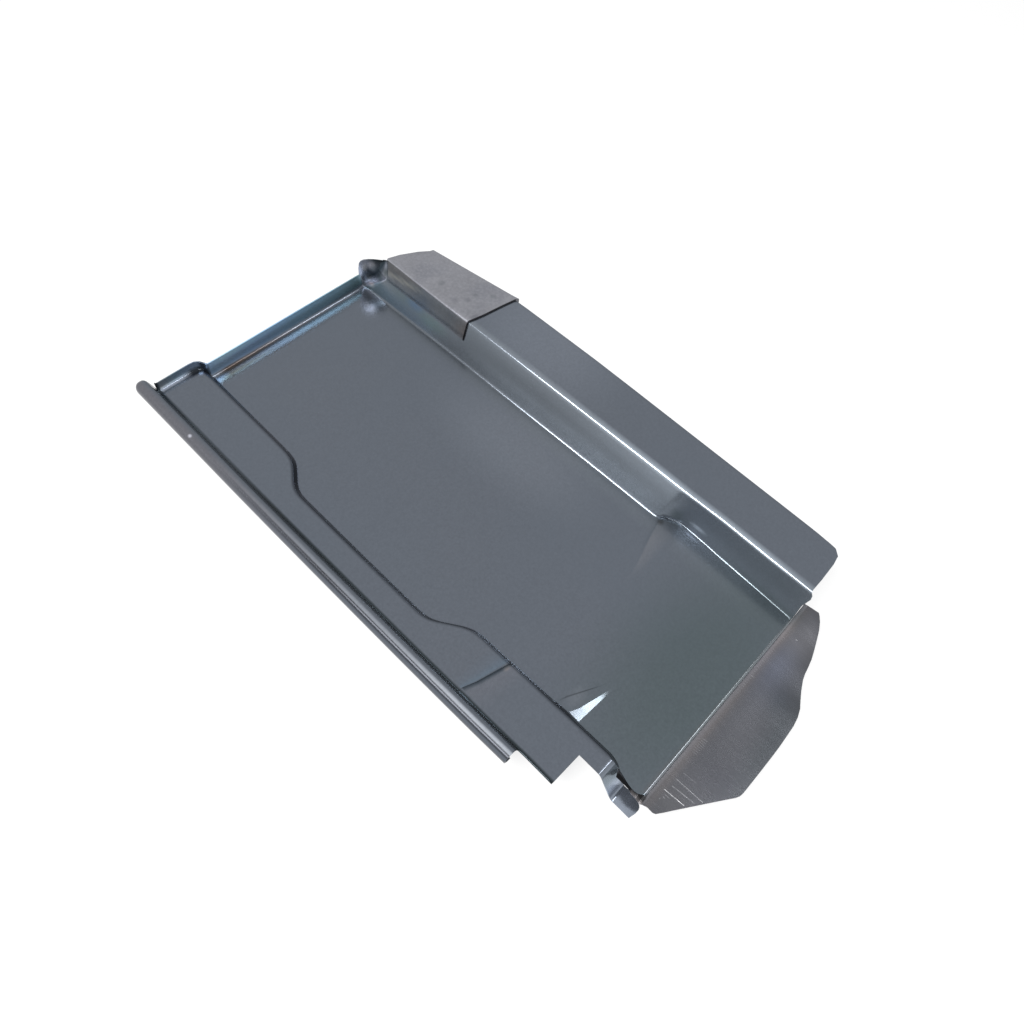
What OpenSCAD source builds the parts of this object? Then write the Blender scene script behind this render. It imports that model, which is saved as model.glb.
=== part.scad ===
// Pressed galvanised-steel roof panel that replaces one interlocking roof tile.
// X runs across the roof slope, Y runs up it towards the ridge, Z is up from the roof face.
// The origin is at the middle of the bounding box's bottom face.

/* [Overall size] */

// Width from the rolled hem to the flange's outer edge
panel_width = 245; // [210:1:320]
// Length of the pan from its front nose to the foot of the back lip
pan_length = 397; // [330:1:500]
// Thickness of the steel sheet
sheet = 0.8; // [0.5:0.05:1.2]

/* [Side strip and hem] */

// Height of the side strip's face above the pan
strip_rise = 6; // [3:0.5:10]
// Step up in the strip's face where it laps over the tile below
strip_step = 0.8; // [0:0.1:1.5]
// Height of the rolled hem's top above the side strip
hem_rise = 8.2; // [5:0.2:12]
// Drop of the front tab below the pan
tab_drop = 12; // [6:0.5:18]

/* [Rib and flange] */

// Height of the rib and its flange above the pan
rib_height = 25; // [16:0.5:36]
// Height of the pan's back lip
lip_height = 11.8; // [6:0.2:15]
// Height of the small triangular darts pressed in the pan
dart_height = 1.8; // [0:0.1:2.4]

/* [Front apron] */

// Reach of the apron in front of the pan's nose
apron_reach = 39.4; // [20:0.2:60]
// Drop of the apron's front edge below the pan
apron_drop = 5.2; // [4:0.2:11.8]
// Thickness of the apron's soft aluminium sheet
apron_sheet = 0.6; // [0.4:0.05:1]

/* [Rib cap] */

// Depth of the cap's flap down the rib's inner wall
flap_depth = 12; // [6:0.5:16]
// Clearance between the cap's flap and the rib's wall
flap_gap = 0.12; // [0.05:0.01:0.5]
// Thickness of the cap's sheet
cap_sheet = 0.7; // [0.5:0.05:1]
// Clearance between sheets that lie on each other
seat_gap = 0.05; // [0.02:0.01:0.2]

/* [Display] */

// Piece to draw

/* [Hidden] */

// Half the sheet, for the middle surface that every shell is drawn from
h = sheet / 2;
// The nominal plan is stretched only in the pan's open middle, so folds keep their size
stretch_x = (128 + panel_width - 245) / 128;
stretch_y = (266 + pan_length - 397) / 266;

function sx(x) = x < 10 ? x : x > 138 ? x + panel_width - 245 : 10 + (x - 10) * stretch_x;
function sy(y) = y < 131 ? y : 131 + (y - 131) * stretch_y;
function placed(p) = [sx(p[0]), sy(p[1]), p[2]];
function mix(a, b, t) = a + (b - a) * t;
function clamp01(t) = max(0, min(1, t));

// Plan lines of the pressing, as [y, x] pairs from front to back
HEM_EDGE = [
    [60, -42], [90, -42.9], [120, -43.5], [150, -44], [200, -44.6], [250, -45.1], [300, -45.4], [420, -45.5]
];
WALL_MID = [
    [32, 5.9], [45, 5.6], [71, 4.7], [90, 4.1], [110, 3.3], [132, 2.6], [138, 0.6], [155, -11.7], [161, -13.4],
    [219, -14.2], [279, -14.6], [284.5, -12.6], [298, -2.2], [304.5, -0.2], [320, 0.4], [400, 0.7]
];
CORNER = [[0, 0], [7, 2], [14.6, 4.3], [24, 7.2], [32, 7.5]];
RIB_FOOT = [
    [0, 155.8], [30, 156.8], [60, 157.6], [75, 158.4], [92, 158.4], [96, 157.6], [108, 150.4], [112, 149.8],
    [160, 148.8], [200, 147.7], [240, 146.5], [300, 145.1], [340, 143.6], [380, 142], [397, 141.6]
];
RIB_CREST = [
    [5, 164.2], [30, 163.8], [75, 163.7], [96, 162.7], [120, 162.5], [160, 161.6], [200, 160.7], [260, 159.3],
    [300, 158.3], [340, 157.2], [390, 156.4]
];
FLANGE_EDGE = [
    [5, 203.1], [16, 203.3], [40, 203.5], [214, 203.5], [252, 202.4], [267, 202.1], [282, 201.6], [294, 201.4],
    [374, 188.2], [397, 180]
];

// Plan lines of the left dart: front foot, top edge, back edge, as [x, y] pairs
DART_FRONT = [[8, 52.7], [37, 51.9], [46, 51.5]];
DART_TOP = [[8, 59], [18, 57.1], [28, 54.7], [37, 53.2], [46, 53]];
DART_BACK = [[8, 70.2], [35, 57.2], [46, 54.5]];

// Rows from the nose to the back lip, and the rows of the tab that leaves the strip's front
ROW_Y = [
    0, 0, 1.4, 5, 9, 14.6, 19.5, 25, 32, 39.6, 46, 52.5, 57, 61, 65, 72, 80, 88, 94, 101, 107, 119, 132, 138,
    155, 161, 219, 279, 284.5, 298, 304.5, 335, 362, 378, 389, 397.2, 398.6, 399.2, 399.4
];
TAB_Y = [-2.1, 2, 7, 10.2, 12.2, 17.5, 22.3, 25.2];
TAB_RISE = [0, 0, 0, 0, 0.09, 0.5, 0.91, 1];
TAB_EDGE = [-0.2, 2.2, 2.8, 2.8, 2.7, 2.5, 2.4, 2.6];
LIP_RISE = [0, 0.1, 0.52, 1];

// Section of the rolled hem, from its hidden free edge round to its root, as [x from edge, share of height]
HEM = [
    [4.8, 0.04], [2.6, 0], [0.8, 0.15], [0, 0.42], [0.3, 0.7], [1.6, 0.91], [3.8, 1], [6.8, 0.98], [8.2, 0.82],
    [10, 0.32], [10.8, 0.13]
];

// Column numbers
ROOT = 10;
STRIP = 11;
TAB = 13;
SLIT = 15;
PAN = 18;
PAN_X = [15, 23, 32, 44, 68, 92, 112, 130];
RIB = 27;
FLANGE = 33;
ROWS = len(ROW_Y);
COLS = 39;
BACK = ROWS - 4;

// The strip rises in front of its slanted crease and falls away again towards the front
function strip_lift(k) = strip_step * lookup(k, [[15, 0], [16, 0.1], [17, 0.25], [18, 0.55], [19, 1], [20, 0]]);
function strip_z(k) = strip_rise - h + strip_lift(k);
function strip_y(k, x) =
    k < 8 ? TAB_Y[k] :
    k == 19 ? 103 - 0.26 * x :
    k == 20 ? 104.2 - 0.26 * x :
    k < 32 ? ROW_Y[k] :
    k < BACK ? mix(335, 403.3, (ROW_Y[k] - 335) / 62.2) :
    [403.4, 404.9, 405.4, 405.6][k - BACK] + 0.04 * (x + 20);

// The hem tapers to a pinched end behind the strip's lip
function hem_y(k) =
    k == 14 ? 65 :
    k < 32 ? ROW_Y[k] :
    k < BACK ? mix(335, 403, (ROW_Y[k] - 335) / 62.2) : [404, 410.6, 413.2, 414.4][k - BACK];
function hem_point(k, j) =
    let (edge = lookup(hem_y(k), HEM_EDGE) + h)
    let (shrink = k < BACK ? 1 : [1, 0.9, 0.56, 0.12][k - BACK])
    let (low = strip_rise - h)
    let (x = edge + mix(5.1, HEM[j][0], shrink))
    [x, hem_y(k), low + hem_rise * mix(0.5, HEM[j][1], shrink)];

function lip_rise(k) = k < BACK ? 0 : LIP_RISE[k - BACK] * (lip_height + h);

function strip_point(k, x) =
    k < 8 ? [x, TAB_Y[k] + (x > 0 && k == 0 ? 1.8 : 0), mix(-tab_drop - h, strip_z(0), TAB_RISE[k])] :
    [x, strip_y(k, x), strip_z(k) + lip_rise(k) * 0.56];

function strip_top(k) = k < 8 ? TAB_EDGE[k] : lookup(ROW_Y[k], WALL_MID) - 2.6;

// The strip's left edge follows the hem, and turns up there
function root_point(k, j) =
    let (y = k > 13 ? hem_y(k) : ROW_Y[k])
    let (x = lookup(max(60, y), HEM_EDGE) + (j == ROOT ? 10.8 : 12.9) + h)
    let (p = strip_point(max(8, k), x))
    [p[0], k == 14 ? 65 : p[1], p[2] + (j == ROOT ? hem_rise * HEM[ROOT][1] : 0)];

// The step wall between strip and pan; in front of the slit its free edge runs down to the pan's corner
function wall_foot(y) = y < 32 ? lookup(max(0, y), CORNER) : lookup(y, WALL_MID) + 1.6;
function wall_point(k, u) =
    let (y = ROW_Y[k])
    let (foot = wall_foot(y))
    let (top = k < 7 ? clamp01((y - 13) / 12) : 1)
    let (height = strip_z(k) + h)
    let (back = strip_y(k, 0))
    let (yb = k == 19 || k == 20 ? back : k < 32 ? y : mix(back, k < BACK ? y : y - 0.9, u == 0 ? 0.25 : 0.85))
    k < 2 ? [foot + u - 0.2, nose_y(foot), nose_z(k)] :
    k == 2 ? [foot + u * 0.8, nose_y(foot) + 1.4, -h] :
    [
        foot - mix(3.5, 0, u) * top - 0.3 * (1 - u) * (1 - top), yb,
        mix(height * 0.82, 0.12 * height, u) * top - h + lip_rise(k) * mix(0.66, 0.92, u)
    ];

// The nose: the pan's front edge is turned down over the apron, on a very slight slant
function nose_y(x) = -0.9 + 0.0192 * x;
function nose_z(k) = k == 0 ? -2.4 : k == 1 ? -1 : -h;

// The left dart stands above the pan between its back edge and its front foot
function dart_y(k, x) =
    x > 46 ? ROW_Y[k] :
    k == 11 ? lookup(x, DART_FRONT) :
    k == 12 ? lookup(x, DART_TOP) :
    k == 13 ? lookup(x, DART_BACK) - 0.8 :
    k == 14 ? lookup(x, DART_BACK) + 0.2 : ROW_Y[k];
function dart_z(k, x) = (k == 12 || k == 13) ? dart_height * clamp01(1 - (x - 8) / 30) : 0;

// The right dart rises at a slanted crease beside the rib's jog and fades towards the front
function crease_y(k, x) =
    let (t = clamp01((x - 92) / 56))
    k == 18 ? mix(94, 104.8, t) : k == 19 ? mix(95.5, 106, t) : k == 20 ? mix(107, 108.5, t) : ROW_Y[k];
function crease_z(k, x) =
    let (lift = lookup(k, [[15, 0], [16, 0.15], [17, 0.4], [18, 0.8], [19, 0]]))
    lift * clamp01((x - 92) / 56) * dart_height / 1.8;

function pan_point(k, x) =
    let (inner_y = x < 50 ? dart_y(k, x) : crease_y(k, x))
    let (y = k < 3 ? nose_y(x) + ROW_Y[k] : k >= BACK ? ROW_Y[k] + 0.0157 * (x - 60) : inner_y)
    let (z = k < 2 ? nose_z(k) : dart_z(k, x) + crease_z(k, x) - h + lip_rise(k))
    [x, y, z];

// Rib wall and flange; their front edge is set back a little and their back edge is cut at a slant
function front_row(k, y0) = k < 8 ? y0 + (max(1.4, ROW_Y[k]) - 1.4) * (25 - y0) / 23.6 : ROW_Y[k];

function wall_line(y, u) =
    [mix(lookup(y, RIB_FOOT) + 0.9, lookup(y, RIB_CREST) - 0.9, u), y, mix(0.9, rib_height - 1, u) - h];
function rib_point(k, u) =
    let (tail = k > 31 && k < BACK ? (k - 31) / 3 : 0)
    let (start = lookup(u, [[0, 2.2], [0.25, 2.4], [0.5, 3.2], [0.75, 2.2], [1, 4]]))
    let (y = front_row(k, start) - tail * lookup(u, [[0, 1], [0.25, 6], [0.5, 11.4], [0.75, 9.6], [1, 6]]))
    wall_line(y, u);

// The closing ear where the back lip meets the rib wall: rows from its fold to its free edge
EAR = [
    [[140.2, 398.3, 0], [143.3, 395.5, 1.9], [146.5, 389.2, 7.4],
     [149.7, 383.6, 13], [152.8, 385.2, 18.6], [155.9, 388.2, 23.6]],
    [[139.9, 399.8, 1.2], [142.6, 397.2, 3.5], [145.2, 391.5, 8.8],
     [148.4, 386, 14.6], [151.9, 386.8, 19.8], [155.3, 388.8, 24]],
    [[139.6, 400.4, 6.2], [140.4, 399.9, 8.5], [141.6, 397.2, 14.8],
     [144.8, 392.8, 20], [149.6, 390, 23.5], [153.8, 389.4, 24.8]],
    [[139.4, 400.6, 11.8], [138.2, 401, 13.2], [138.6, 400.4, 23.1],
     [141.2, 397.9, 26.7], [146.5, 392.9, 27.4], [151.8, 389.6, 25.8]]
];
function ear_point(k, c) =
    let (p = EAR[k - BACK][c])
    [p[0], p[1], c == 0 ? p[2] * lip_height / 11.8 - (k == BACK ? h : 0) : p[2] * rib_height / 25 - h];

function flange_point(k, c) =
    let (y = ROW_Y[k])
    let (y0 = [5, 5.2, 5.9, 7, 10.6, 16.1][c])
    let (front = clamp01(1 - (y - 1.4) / 23.6))
    let (yb = [387.5, 381, 373.5, 371, 370.2, 370][c])
    let (yy = k < 8 ? front_row(k, y0) : k > 31 ? mix(335, yb, (y - 335) / 62.2) : y)
    let (inner = lookup(yy, RIB_CREST) + 0.7)
    let (outer = lookup(yy, FLANGE_EDGE))
    let (inset = mix([6, 2, 0.4, 0], [12, 5.3, 1.9, 0], front))
    let (x = c == 0 ? inner : c == 1 ? mix(inner, outer, 0.5) : outer - inset[c - 2])
    [x, yy, rib_height - h - [0, 0, 0, 0, 0.5, 1.5][c]];

// Where the strip narrows between the two jogs its inner columns move over with the step wall
function strip_column(k, j) =
    let (edge = strip_top(k))
    k < 8 ? [0, -8, -3, edge][j - 12] :
    j == 12 ? min(-20, edge - 8) : j == TAB ? min(-8, edge - 4) : j == 14 ? edge - (k < 10 ? 5.5 : 2) : edge;

function column(k, j) =
    j < ROOT ? hem_point(k, j) :
    j <= STRIP ? root_point(k, j) :
    j <= SLIT ? strip_point(k, strip_column(k, j)) :
    j < PAN ? wall_point(k, j - 16) :
    j == PAN ? pan_point(k, wall_foot(ROW_Y[k]) + (k < 7 ? mix(3, 0.9, k / 7) : 0.9)) :
    j < RIB ? pan_point(k, PAN_X[j - PAN - 1]) :
    k >= BACK && j < FLANGE ? ear_point(k, j - RIB) :
    j == RIB ? pan_point(k, lookup(ROW_Y[k], RIB_FOOT) - 0.4) :
    j < FLANGE ? rib_point(k, (j - RIB - 1) / 4) :
    flange_point(k, j - FLANGE);

// Which cells of the grid hold sheet: the slit, the notches and the open corners don't
function held(k, j) =
    j < ROOT && k < 14 ? 0 :
    j < TAB && k < 9 ? 0 :
    j == SLIT && k < 7 ? 0 :
    j >= RIB && k < 2 ? 0 :
    j == ROOT - 1 && k >= BACK ? 0 :
    j >= FLANGE - 1 && k >= BACK ? 0 : 1;

PANEL = [for (k = [0 : ROWS - 1]) [for (j = [0 : COLS - 1]) placed(column(k, j))]];
PANEL_CELLS = [for (k = [0 : ROWS - 2]) [for (j = [0 : COLS - 2]) held(k, j)]];

// The apron: tucked under the pan, over the nose's foot and down to a chamfered front edge
APRON_X = [1, 5, 11, 23, 32, 40, 45, 49, 68, 92, 102, 108, 114, 122, 130, 138, 146, 153, 160, 167, 172, 175.5];
APRON_FRONT = [
    [1, -6.5], [2.3, -9.4], [4.5, -12.3], [10.3, -15.9], [21.8, -23.6], [30.3, -29.8], [36, -34.1], [42.5, -38.2],
    [47.5, -39.3], [85, -39], [95, -38.4], [103, -37.6], [107.5, -36.6], [113, -34.8], [123.4, -28.8], [130, -25.6],
    [138, -23.5], [145, -22], [152, -19.7], [158, -17.2], [164.5, -14.5], [170, -11.7], [175.5, -7]
];
APRON_V = [1, 0.82, 0.6, 0.38, 0.16, 0];

function ripple(x, v) = x < 95 ? 0 : 0.9 * v * sin((x - 95) * 13);
function apron_point(k, x) =
    let (front = lookup(x, APRON_FRONT) * apron_reach / 39.3)
    let (tuck = x > 150 ? 3 : 14)
    let (flat_z = -sheet - seat_gap - apron_sheet / 2)
    let (nose = -2.4 - seat_gap - apron_sheet)
    let (v = k < 6 ? APRON_V[k] : 0)
    let (foot = nose_y(x))
    let (y = mix(foot - 1.6, front, v))
    k < 6 ? [x, y, mix(nose, -apron_drop, clamp01((foot - 1.6 - y) / (apron_reach - 1.6))) + ripple(x, v)] :
    k == 6 ? [x, foot + 1.6, mix(flat_z, nose, 0.82)] :
    k == 7 ? [x, foot + 3.4, flat_z - 0.1] :
    [x, foot + 3.6 + tuck * 0.5 * (k - 7), flat_z];

APRON = [for (k = [0 : 9]) [for (x = APRON_X) placed(apron_point(k, x))]];
APRON_CELLS = [for (k = [0 : 8]) [for (j = [0 : len(APRON_X) - 2]) k > 5 && APRON_X[j] > 150 ? 0 : 1]];

// The cap: a flap down the rib wall, a flat over the flange and a narrow fold round the flange's edge
CAP_Y = [302, 303, 322, 345, 366, 380, 384];
flat_z = rib_height + seat_gap + cap_sheet / 2;

CAP_EDGE = [[295, 203.8], [375, 189.8]];

function cap_point(k, c) =
    let (v = (CAP_Y[k] - 302) / 82)
    let (front = [299.5, 302, 302, 298.5, 295, 294.8, 294.8])
    let (back = [379.6, 381.6, 388.4, 383, 373.6, 373.3, 373.1])
    let (yy = mix(front[c], back[c], v))
    let (low = wall_line(yy, 0), top = wall_line(yy, 1))
    let (run = [top[2] - low[2], low[0] - top[0]])
    let (off = h + flap_gap + cap_sheet / 2)
    let (n = [-run[0], -run[1]] / norm(run))
    let (wall = wall_line(yy, c == 0 ? 1 - flap_depth / rib_height : 1))
    let (crest = lookup(yy, RIB_CREST))
    let (edge = lookup(yy, CAP_EDGE))
    let (x = c == 2 ? crest - 0.3 : c == 3 ? mix(crest, edge, 0.5) : edge - (c == 4 ? 1 : 0))
    c < 2 ? [wall[0] + n[0] * off, yy, wall[2] + n[1] * off] :
    [x, yy, flat_z - (c == 5 ? 0.9 : c == 6 ? 3.4 : 0)];

CAP = [for (k = [0 : len(CAP_Y) - 1]) [for (c = [0 : 6]) placed(cap_point(k, c))]];
CAP_CELLS = [for (k = [0 : len(CAP_Y) - 2]) [for (c = [0 : 5]) 1]];

// Places the nominal plan so that the bounding box's bottom middle is the origin
left = -45.5;
right = sx(203.8) + cap_sheet / 2;
front_y = -apron_reach - 0.02;
back_y = sy(414.4) + 0.37;
bottom = -tab_drop - sheet;
centre = [(left + right) / 2, (front_y + back_y) / 2, bottom];

function unit(v) = let (n = norm(v)) n > 1e-9 ? v / n : [0, 0, 1];
function cell_normal(P, C, k, j) =
    k < 0 || j < 0 || k > len(C) - 1 || j > len(C[0]) - 1 ? [0, 0, 0] :
    C[k][j] == 0 ? [0, 0, 0] :
    unit(cross(P[k + 1][j + 1] - P[k][j], P[k + 1][j] - P[k][j + 1]));
function vertex_normal(P, C, k, j) =
    unit(
        cell_normal(P, C, k, j) + cell_normal(P, C, k - 1, j) +
        cell_normal(P, C, k, j - 1) + cell_normal(P, C, k - 1, j - 1)
    );
function present(C, k, j) = k < 0 || j < 0 || k > len(C) - 1 || j > len(C[0]) - 1 ? 0 : C[k][j];

// A sheet of even thickness about a grid of points, where C marks the cells that hold sheet
module sheet_shell(P, C, thick) {
    nk = len(P);
    nj = len(P[0]);
    N = [for (k = [0 : nk - 1]) [for (j = [0 : nj - 1]) vertex_normal(P, C, k, j) * thick / 2]];
    upper = [for (k = [0 : nk - 1]) for (j = [0 : nj - 1]) P[k][j] + N[k][j]];
    lower = [for (k = [0 : nk - 1]) for (j = [0 : nj - 1]) P[k][j] - N[k][j]];
    s = nk * nj;
    faces = [
        for (k = [0 : nk - 2]) for (j = [0 : nj - 2]) if (C[k][j] == 1)
            let (a = k * nj + j, b = a + 1, d = a + nj, c = d + 1)
            each concat(
                [[a, d, c], [a, c, b], [a + s, c + s, d + s], [a + s, b + s, c + s]],
                present(C, k, j - 1) == 0 ? [[d, a, a + s], [d, a + s, d + s]] : [],
                present(C, k, j + 1) == 0 ? [[b, c, c + s], [b, c + s, b + s]] : [],
                present(C, k - 1, j) == 0 ? [[a, b, b + s], [a, b + s, a + s]] : [],
                present(C, k + 1, j) == 0 ? [[c, d, d + s], [c, d + s, c + s]] : []
            )
    ];
    polyhedron(points = concat(upper, lower), faces = faces, convexity = 10);
}

module steel_panel() {
    color([0.42, 0.45, 0.5])
        translate(-centre)
            sheet_shell(PANEL, PANEL_CELLS, sheet);
}

module front_apron() {
    color([0.55, 0.55, 0.55])
        translate(-centre)
            sheet_shell(APRON, APRON_CELLS, apron_sheet);
}

module rib_cap() {
    color([0.6, 0.62, 0.65])
        translate(-centre)
            sheet_shell(CAP, CAP_CELLS, cap_sheet);
}

steel_panel();
front_apron();
rib_cap();
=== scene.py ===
"""Pressed steel roof panel that takes the place of one interlocking tile.

A small add-on that builds its sheets, finishes, light and camera.
"""

import math
from collections import namedtuple

import bpy
import numpy as np
from mathutils import Matrix


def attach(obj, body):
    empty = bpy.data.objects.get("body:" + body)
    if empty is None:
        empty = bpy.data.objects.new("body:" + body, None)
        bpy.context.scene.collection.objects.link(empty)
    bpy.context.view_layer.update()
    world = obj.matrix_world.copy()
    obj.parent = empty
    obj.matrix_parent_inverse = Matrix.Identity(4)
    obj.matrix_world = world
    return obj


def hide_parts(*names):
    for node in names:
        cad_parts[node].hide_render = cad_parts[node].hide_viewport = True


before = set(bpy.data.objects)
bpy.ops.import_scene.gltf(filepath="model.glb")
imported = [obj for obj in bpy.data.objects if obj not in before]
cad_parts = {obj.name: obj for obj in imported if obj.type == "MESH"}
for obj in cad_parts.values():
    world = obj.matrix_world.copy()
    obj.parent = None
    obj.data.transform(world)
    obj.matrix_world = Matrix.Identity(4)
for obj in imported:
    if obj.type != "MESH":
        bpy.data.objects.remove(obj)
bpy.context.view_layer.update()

bl_info = {
    "name": "Metal Roofing Panel",
    "version": (1, 0, 0),
    "blender": (4, 5, 0),
    "location": "View3D > Sidebar > Roof Panel",
    "description": "Builds a pressed steel roof panel with its hem, rib, cap and soft apron",
    "category": "Object",
}

# Lengths are millimetres on the drawing, whose zero is the front left corner of the pan.
# This is where the row's own origin lies on the drawing.
DATUM = np.array([79.325, 187.675, -12.8])
MM_IN_M = 1000


# ---------------------------------------------------------------- small maths


def drawing(x, y, z):
    """A place on the drawing, in the row's metres."""
    return tuple((np.array([x, y, z]) - DATUM) / MM_IN_M)


def mix(a, b, t):
    return a + (b - a) * t


def clamp01(t):
    return min(1.0, max(0.0, t))


def smooth01(t):
    t = clamp01(t)
    return t * t * (3 - 2 * t)


def unit(v):
    return v / np.maximum(np.linalg.norm(v, axis=-1, keepdims=True), 1e-9)


def along(q, table):
    """Straight-line reading of a table of (place, value) pairs."""
    return float(np.interp(q, [r[0] for r in table], [r[1] for r in table]))


def softened(q, table, reach=3.0):
    """The same reading with its corners rounded over a reach on both sides."""
    lo, hi = table[0][0], table[-1][0]
    reach = max(1e-6, min(reach, q - lo, hi - q)) if lo < q < hi else 1e-6
    steps = q + reach * np.linspace(-1, 1, 9)
    return float(np.mean(np.interp(steps, [r[0] for r in table], [r[1] for r in table])))


def curved(points, parts):
    """A smooth curve through points, with the same number of parts in each stretch."""
    p = np.asarray(points, float)
    ext = np.vstack([2 * p[0] - p[1], p, 2 * p[-1] - p[-2]])
    out = []
    for a, b, c, d in zip(ext, ext[1:], ext[2:], ext[3:]):
        for t in (s / parts for s in range(parts)):
            rise, bend, twist = c - a, 2 * a - 5 * b + 4 * c - d, 3 * b - a - 3 * c + d
            out.append(0.5 * (2 * b + rise * t + bend * t * t + twist * t**3))
    out.append(p[-1])
    return np.array(out)


# ---------------------------------------------------------------- lines of the drawing

# The strip's tab, whose slit ends before its root; then where the strip's left part and the hem begin
TAB_START_Y = 3.2
TAB_ROOT_Y = 25.4
TAB_LENGTH = 22.2
SLIT_END_Y = 19
STRIP_START_Y = 39.5
HEM_START_Y = 64.5

# The crease across the panel, how far it turns the rows about it, and how far in front it starts to rise
CREASE_Y = 103.0
CREASE_REACH = 14
CREASE_FRONT = 12

# Where the rows begin to fan out towards the back, over what length, and the foot of the back lip
TAIL_Y = 335
TAIL_LENGTH = 60
BACK_Y = 397.2

# Lines that run from front to back, as (y, x)
HEM_EDGE = [
    (60, -42), (90, -42.9), (120, -43.5), (150, -44), (200, -44.6), (250, -45.1), (300, -45.4), (420, -45.5),
]
WALL_MID = [
    (25, 5.9), (45, 5.6), (71, 4.7), (90, 4.1), (110, 3.3), (131, 2.7), (137, 0.9), (156, -12.2),
    (162, -13.4), (219, -14.2), (278, -14.6), (285, -12.4), (297, -3), (304, 0), (320, 0.4), (400, 0.7),
]
CORNER = [
    (0, 3.4), (1.4, 2.2), (3, 1.3), (8.3, 1.5), (12.6, 2.6), (15.9, 3.6), (19.9, 4.8), (24, 6.3), (32, 7.2),
]
TAB_EDGE = [
    (-2.1, -0.5), (-1.6, 0.9), (-0.8, 1.8), (0.6, 2.8), (2, 3.3), (7, 3.9), (12.2, 3.6), (17.5, 3.8),
    (20, 4.0), (25.2, 3.4),
]
RIB_FOOT = [
    (0, 155.8), (30, 156.8), (60, 157.6), (75, 158.4), (92, 158.6), (95.1, 158.4), (108.4, 150.1),
    (112, 149.8), (160, 148.8), (200, 147.7), (240, 146.5), (300, 145.1), (340, 143.6), (380, 142),
    (397, 141.6),
]
RIB_CREST = [
    (5, 164.2), (30, 163.8), (75, 163.7), (96, 162.7), (120, 162.5), (160, 161.6), (200, 160.7),
    (260, 159.3), (300, 158.3), (340, 157.2), (390, 156.4),
]
FLANGE_EDGE = [
    (5, 203.1), (16, 203.3), (40, 203.5), (214, 203.5), (252, 202.5), (267, 202.2), (282, 201.7),
    (294, 201.5), (374, 188.4), (397, 180),
]

# Lines of the left dart, as (x, y)
DART_FRONT = [(8, 52.7), (37, 51.9), (46, 51.5)]
DART_TOP = [(6.6, 61.2), (8.4, 59), (18, 57.1), (28, 54.7), (37, 52.9), (46, 52.6)]
DART_BACK = [(8, 70.2), (35, 57.2), (46, 54.5)]

# The ear's rows from the pan up to its top edge, each from the back lip to the rib's crest
EAR = np.array([
    [(140.2, 398.2, 0), (143.3, 395.4, 2), (146.5, 389.2, 7.6),
     (149.7, 383.2, 13), (152.8, 385, 18.4), (155.9, 388.2, 24.2)],
    [(139.9, 399.8, 1.2), (142.6, 397.2, 3.6), (145.2, 391.5, 8.9),
     (148.4, 386, 14.6), (151.9, 386.8, 19.8), (155.3, 388.8, 24.7)],
    [(139.6, 400.4, 6.2), (140.4, 399.9, 8.5), (141.6, 397.2, 14.8),
     (144.8, 392.8, 20), (149.6, 390, 23.5), (153.8, 389.2, 25.3)],
    [(139.4, 400.6, 11.8), (138.2, 401, 13.2), (138.6, 400.4, 23.1),
     (141.2, 397.9, 26.7), (146.5, 392.9, 27.4), (152, 388.6, 25.9)],
], float)

# The hem's section, as (step in from its edge, share of its height); the last three lie on the strip
HEM = [
    (4.8, 0.04), (2.6, 0), (0.8, 0.15), (0, 0.42), (0.3, 0.7), (1.6, 0.91), (3.8, 1), (6.8, 0.98),
    (8.2, 0.82), (10, 0.32), (10.8, 0.13), (12.4, 0), (14.4, 0),
]
HEM_ROLL = 10
HEM_PARTS = 3
HEM_FOOT = 11 * HEM_PARTS
HEM_TOP_Z = 12

# The nose's rows as (step back, z), and the tab's y at each of them
NOSE = [(0, -2.4), (0, -1.75), (0.12, -1.25), (0.43, -0.8), (0.9, -0.5), (1.5, -0.4)]
NOSE_TAB = [-2.1, -1.6, -0.8, 0.6, 2.0, 3.8]
NOSE_LAST = len(NOSE) - 1

# The back lip's rows, as (step back, share of height, share of the ear, hem's y)
LIP = [
    (-2.6, 0, 0.0, 403.5), (-1.5, 0.015, 0.0, 406), (-0.5, 0.05, 0.03, 408.5), (0.2, 0.11, 0.09, 410.3),
    (0.8, 0.2, 0.18, 411.5), (1.25, 0.33, 0.3, 412.4), (1.6, 0.52, 0.52, 413.1), (1.85, 0.76, 0.78, 413.6),
    (2.1, 1.0, 1.0, 413.78),
]

# Columns of the pan
PAN_X = [14, 18, 23, 28, 33, 38, 46, 60, 76, 92, 104, 116, 126, 134]


def nose_y(x):
    return -0.9 + 0.0192 * x


# ---------------------------------------------------------------- sheet making

FOLD_STEPS = (-1, -0.5, 0, 0.5, 1)
FOLD_SHARE = 0.47


def fold_radius(wanted, *flats):
    """A fold's radius, held to under half of each joined flat beside it."""
    return min([wanted] + [FOLD_SHARE * flat for flat in flats if flat is not None])


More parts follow.
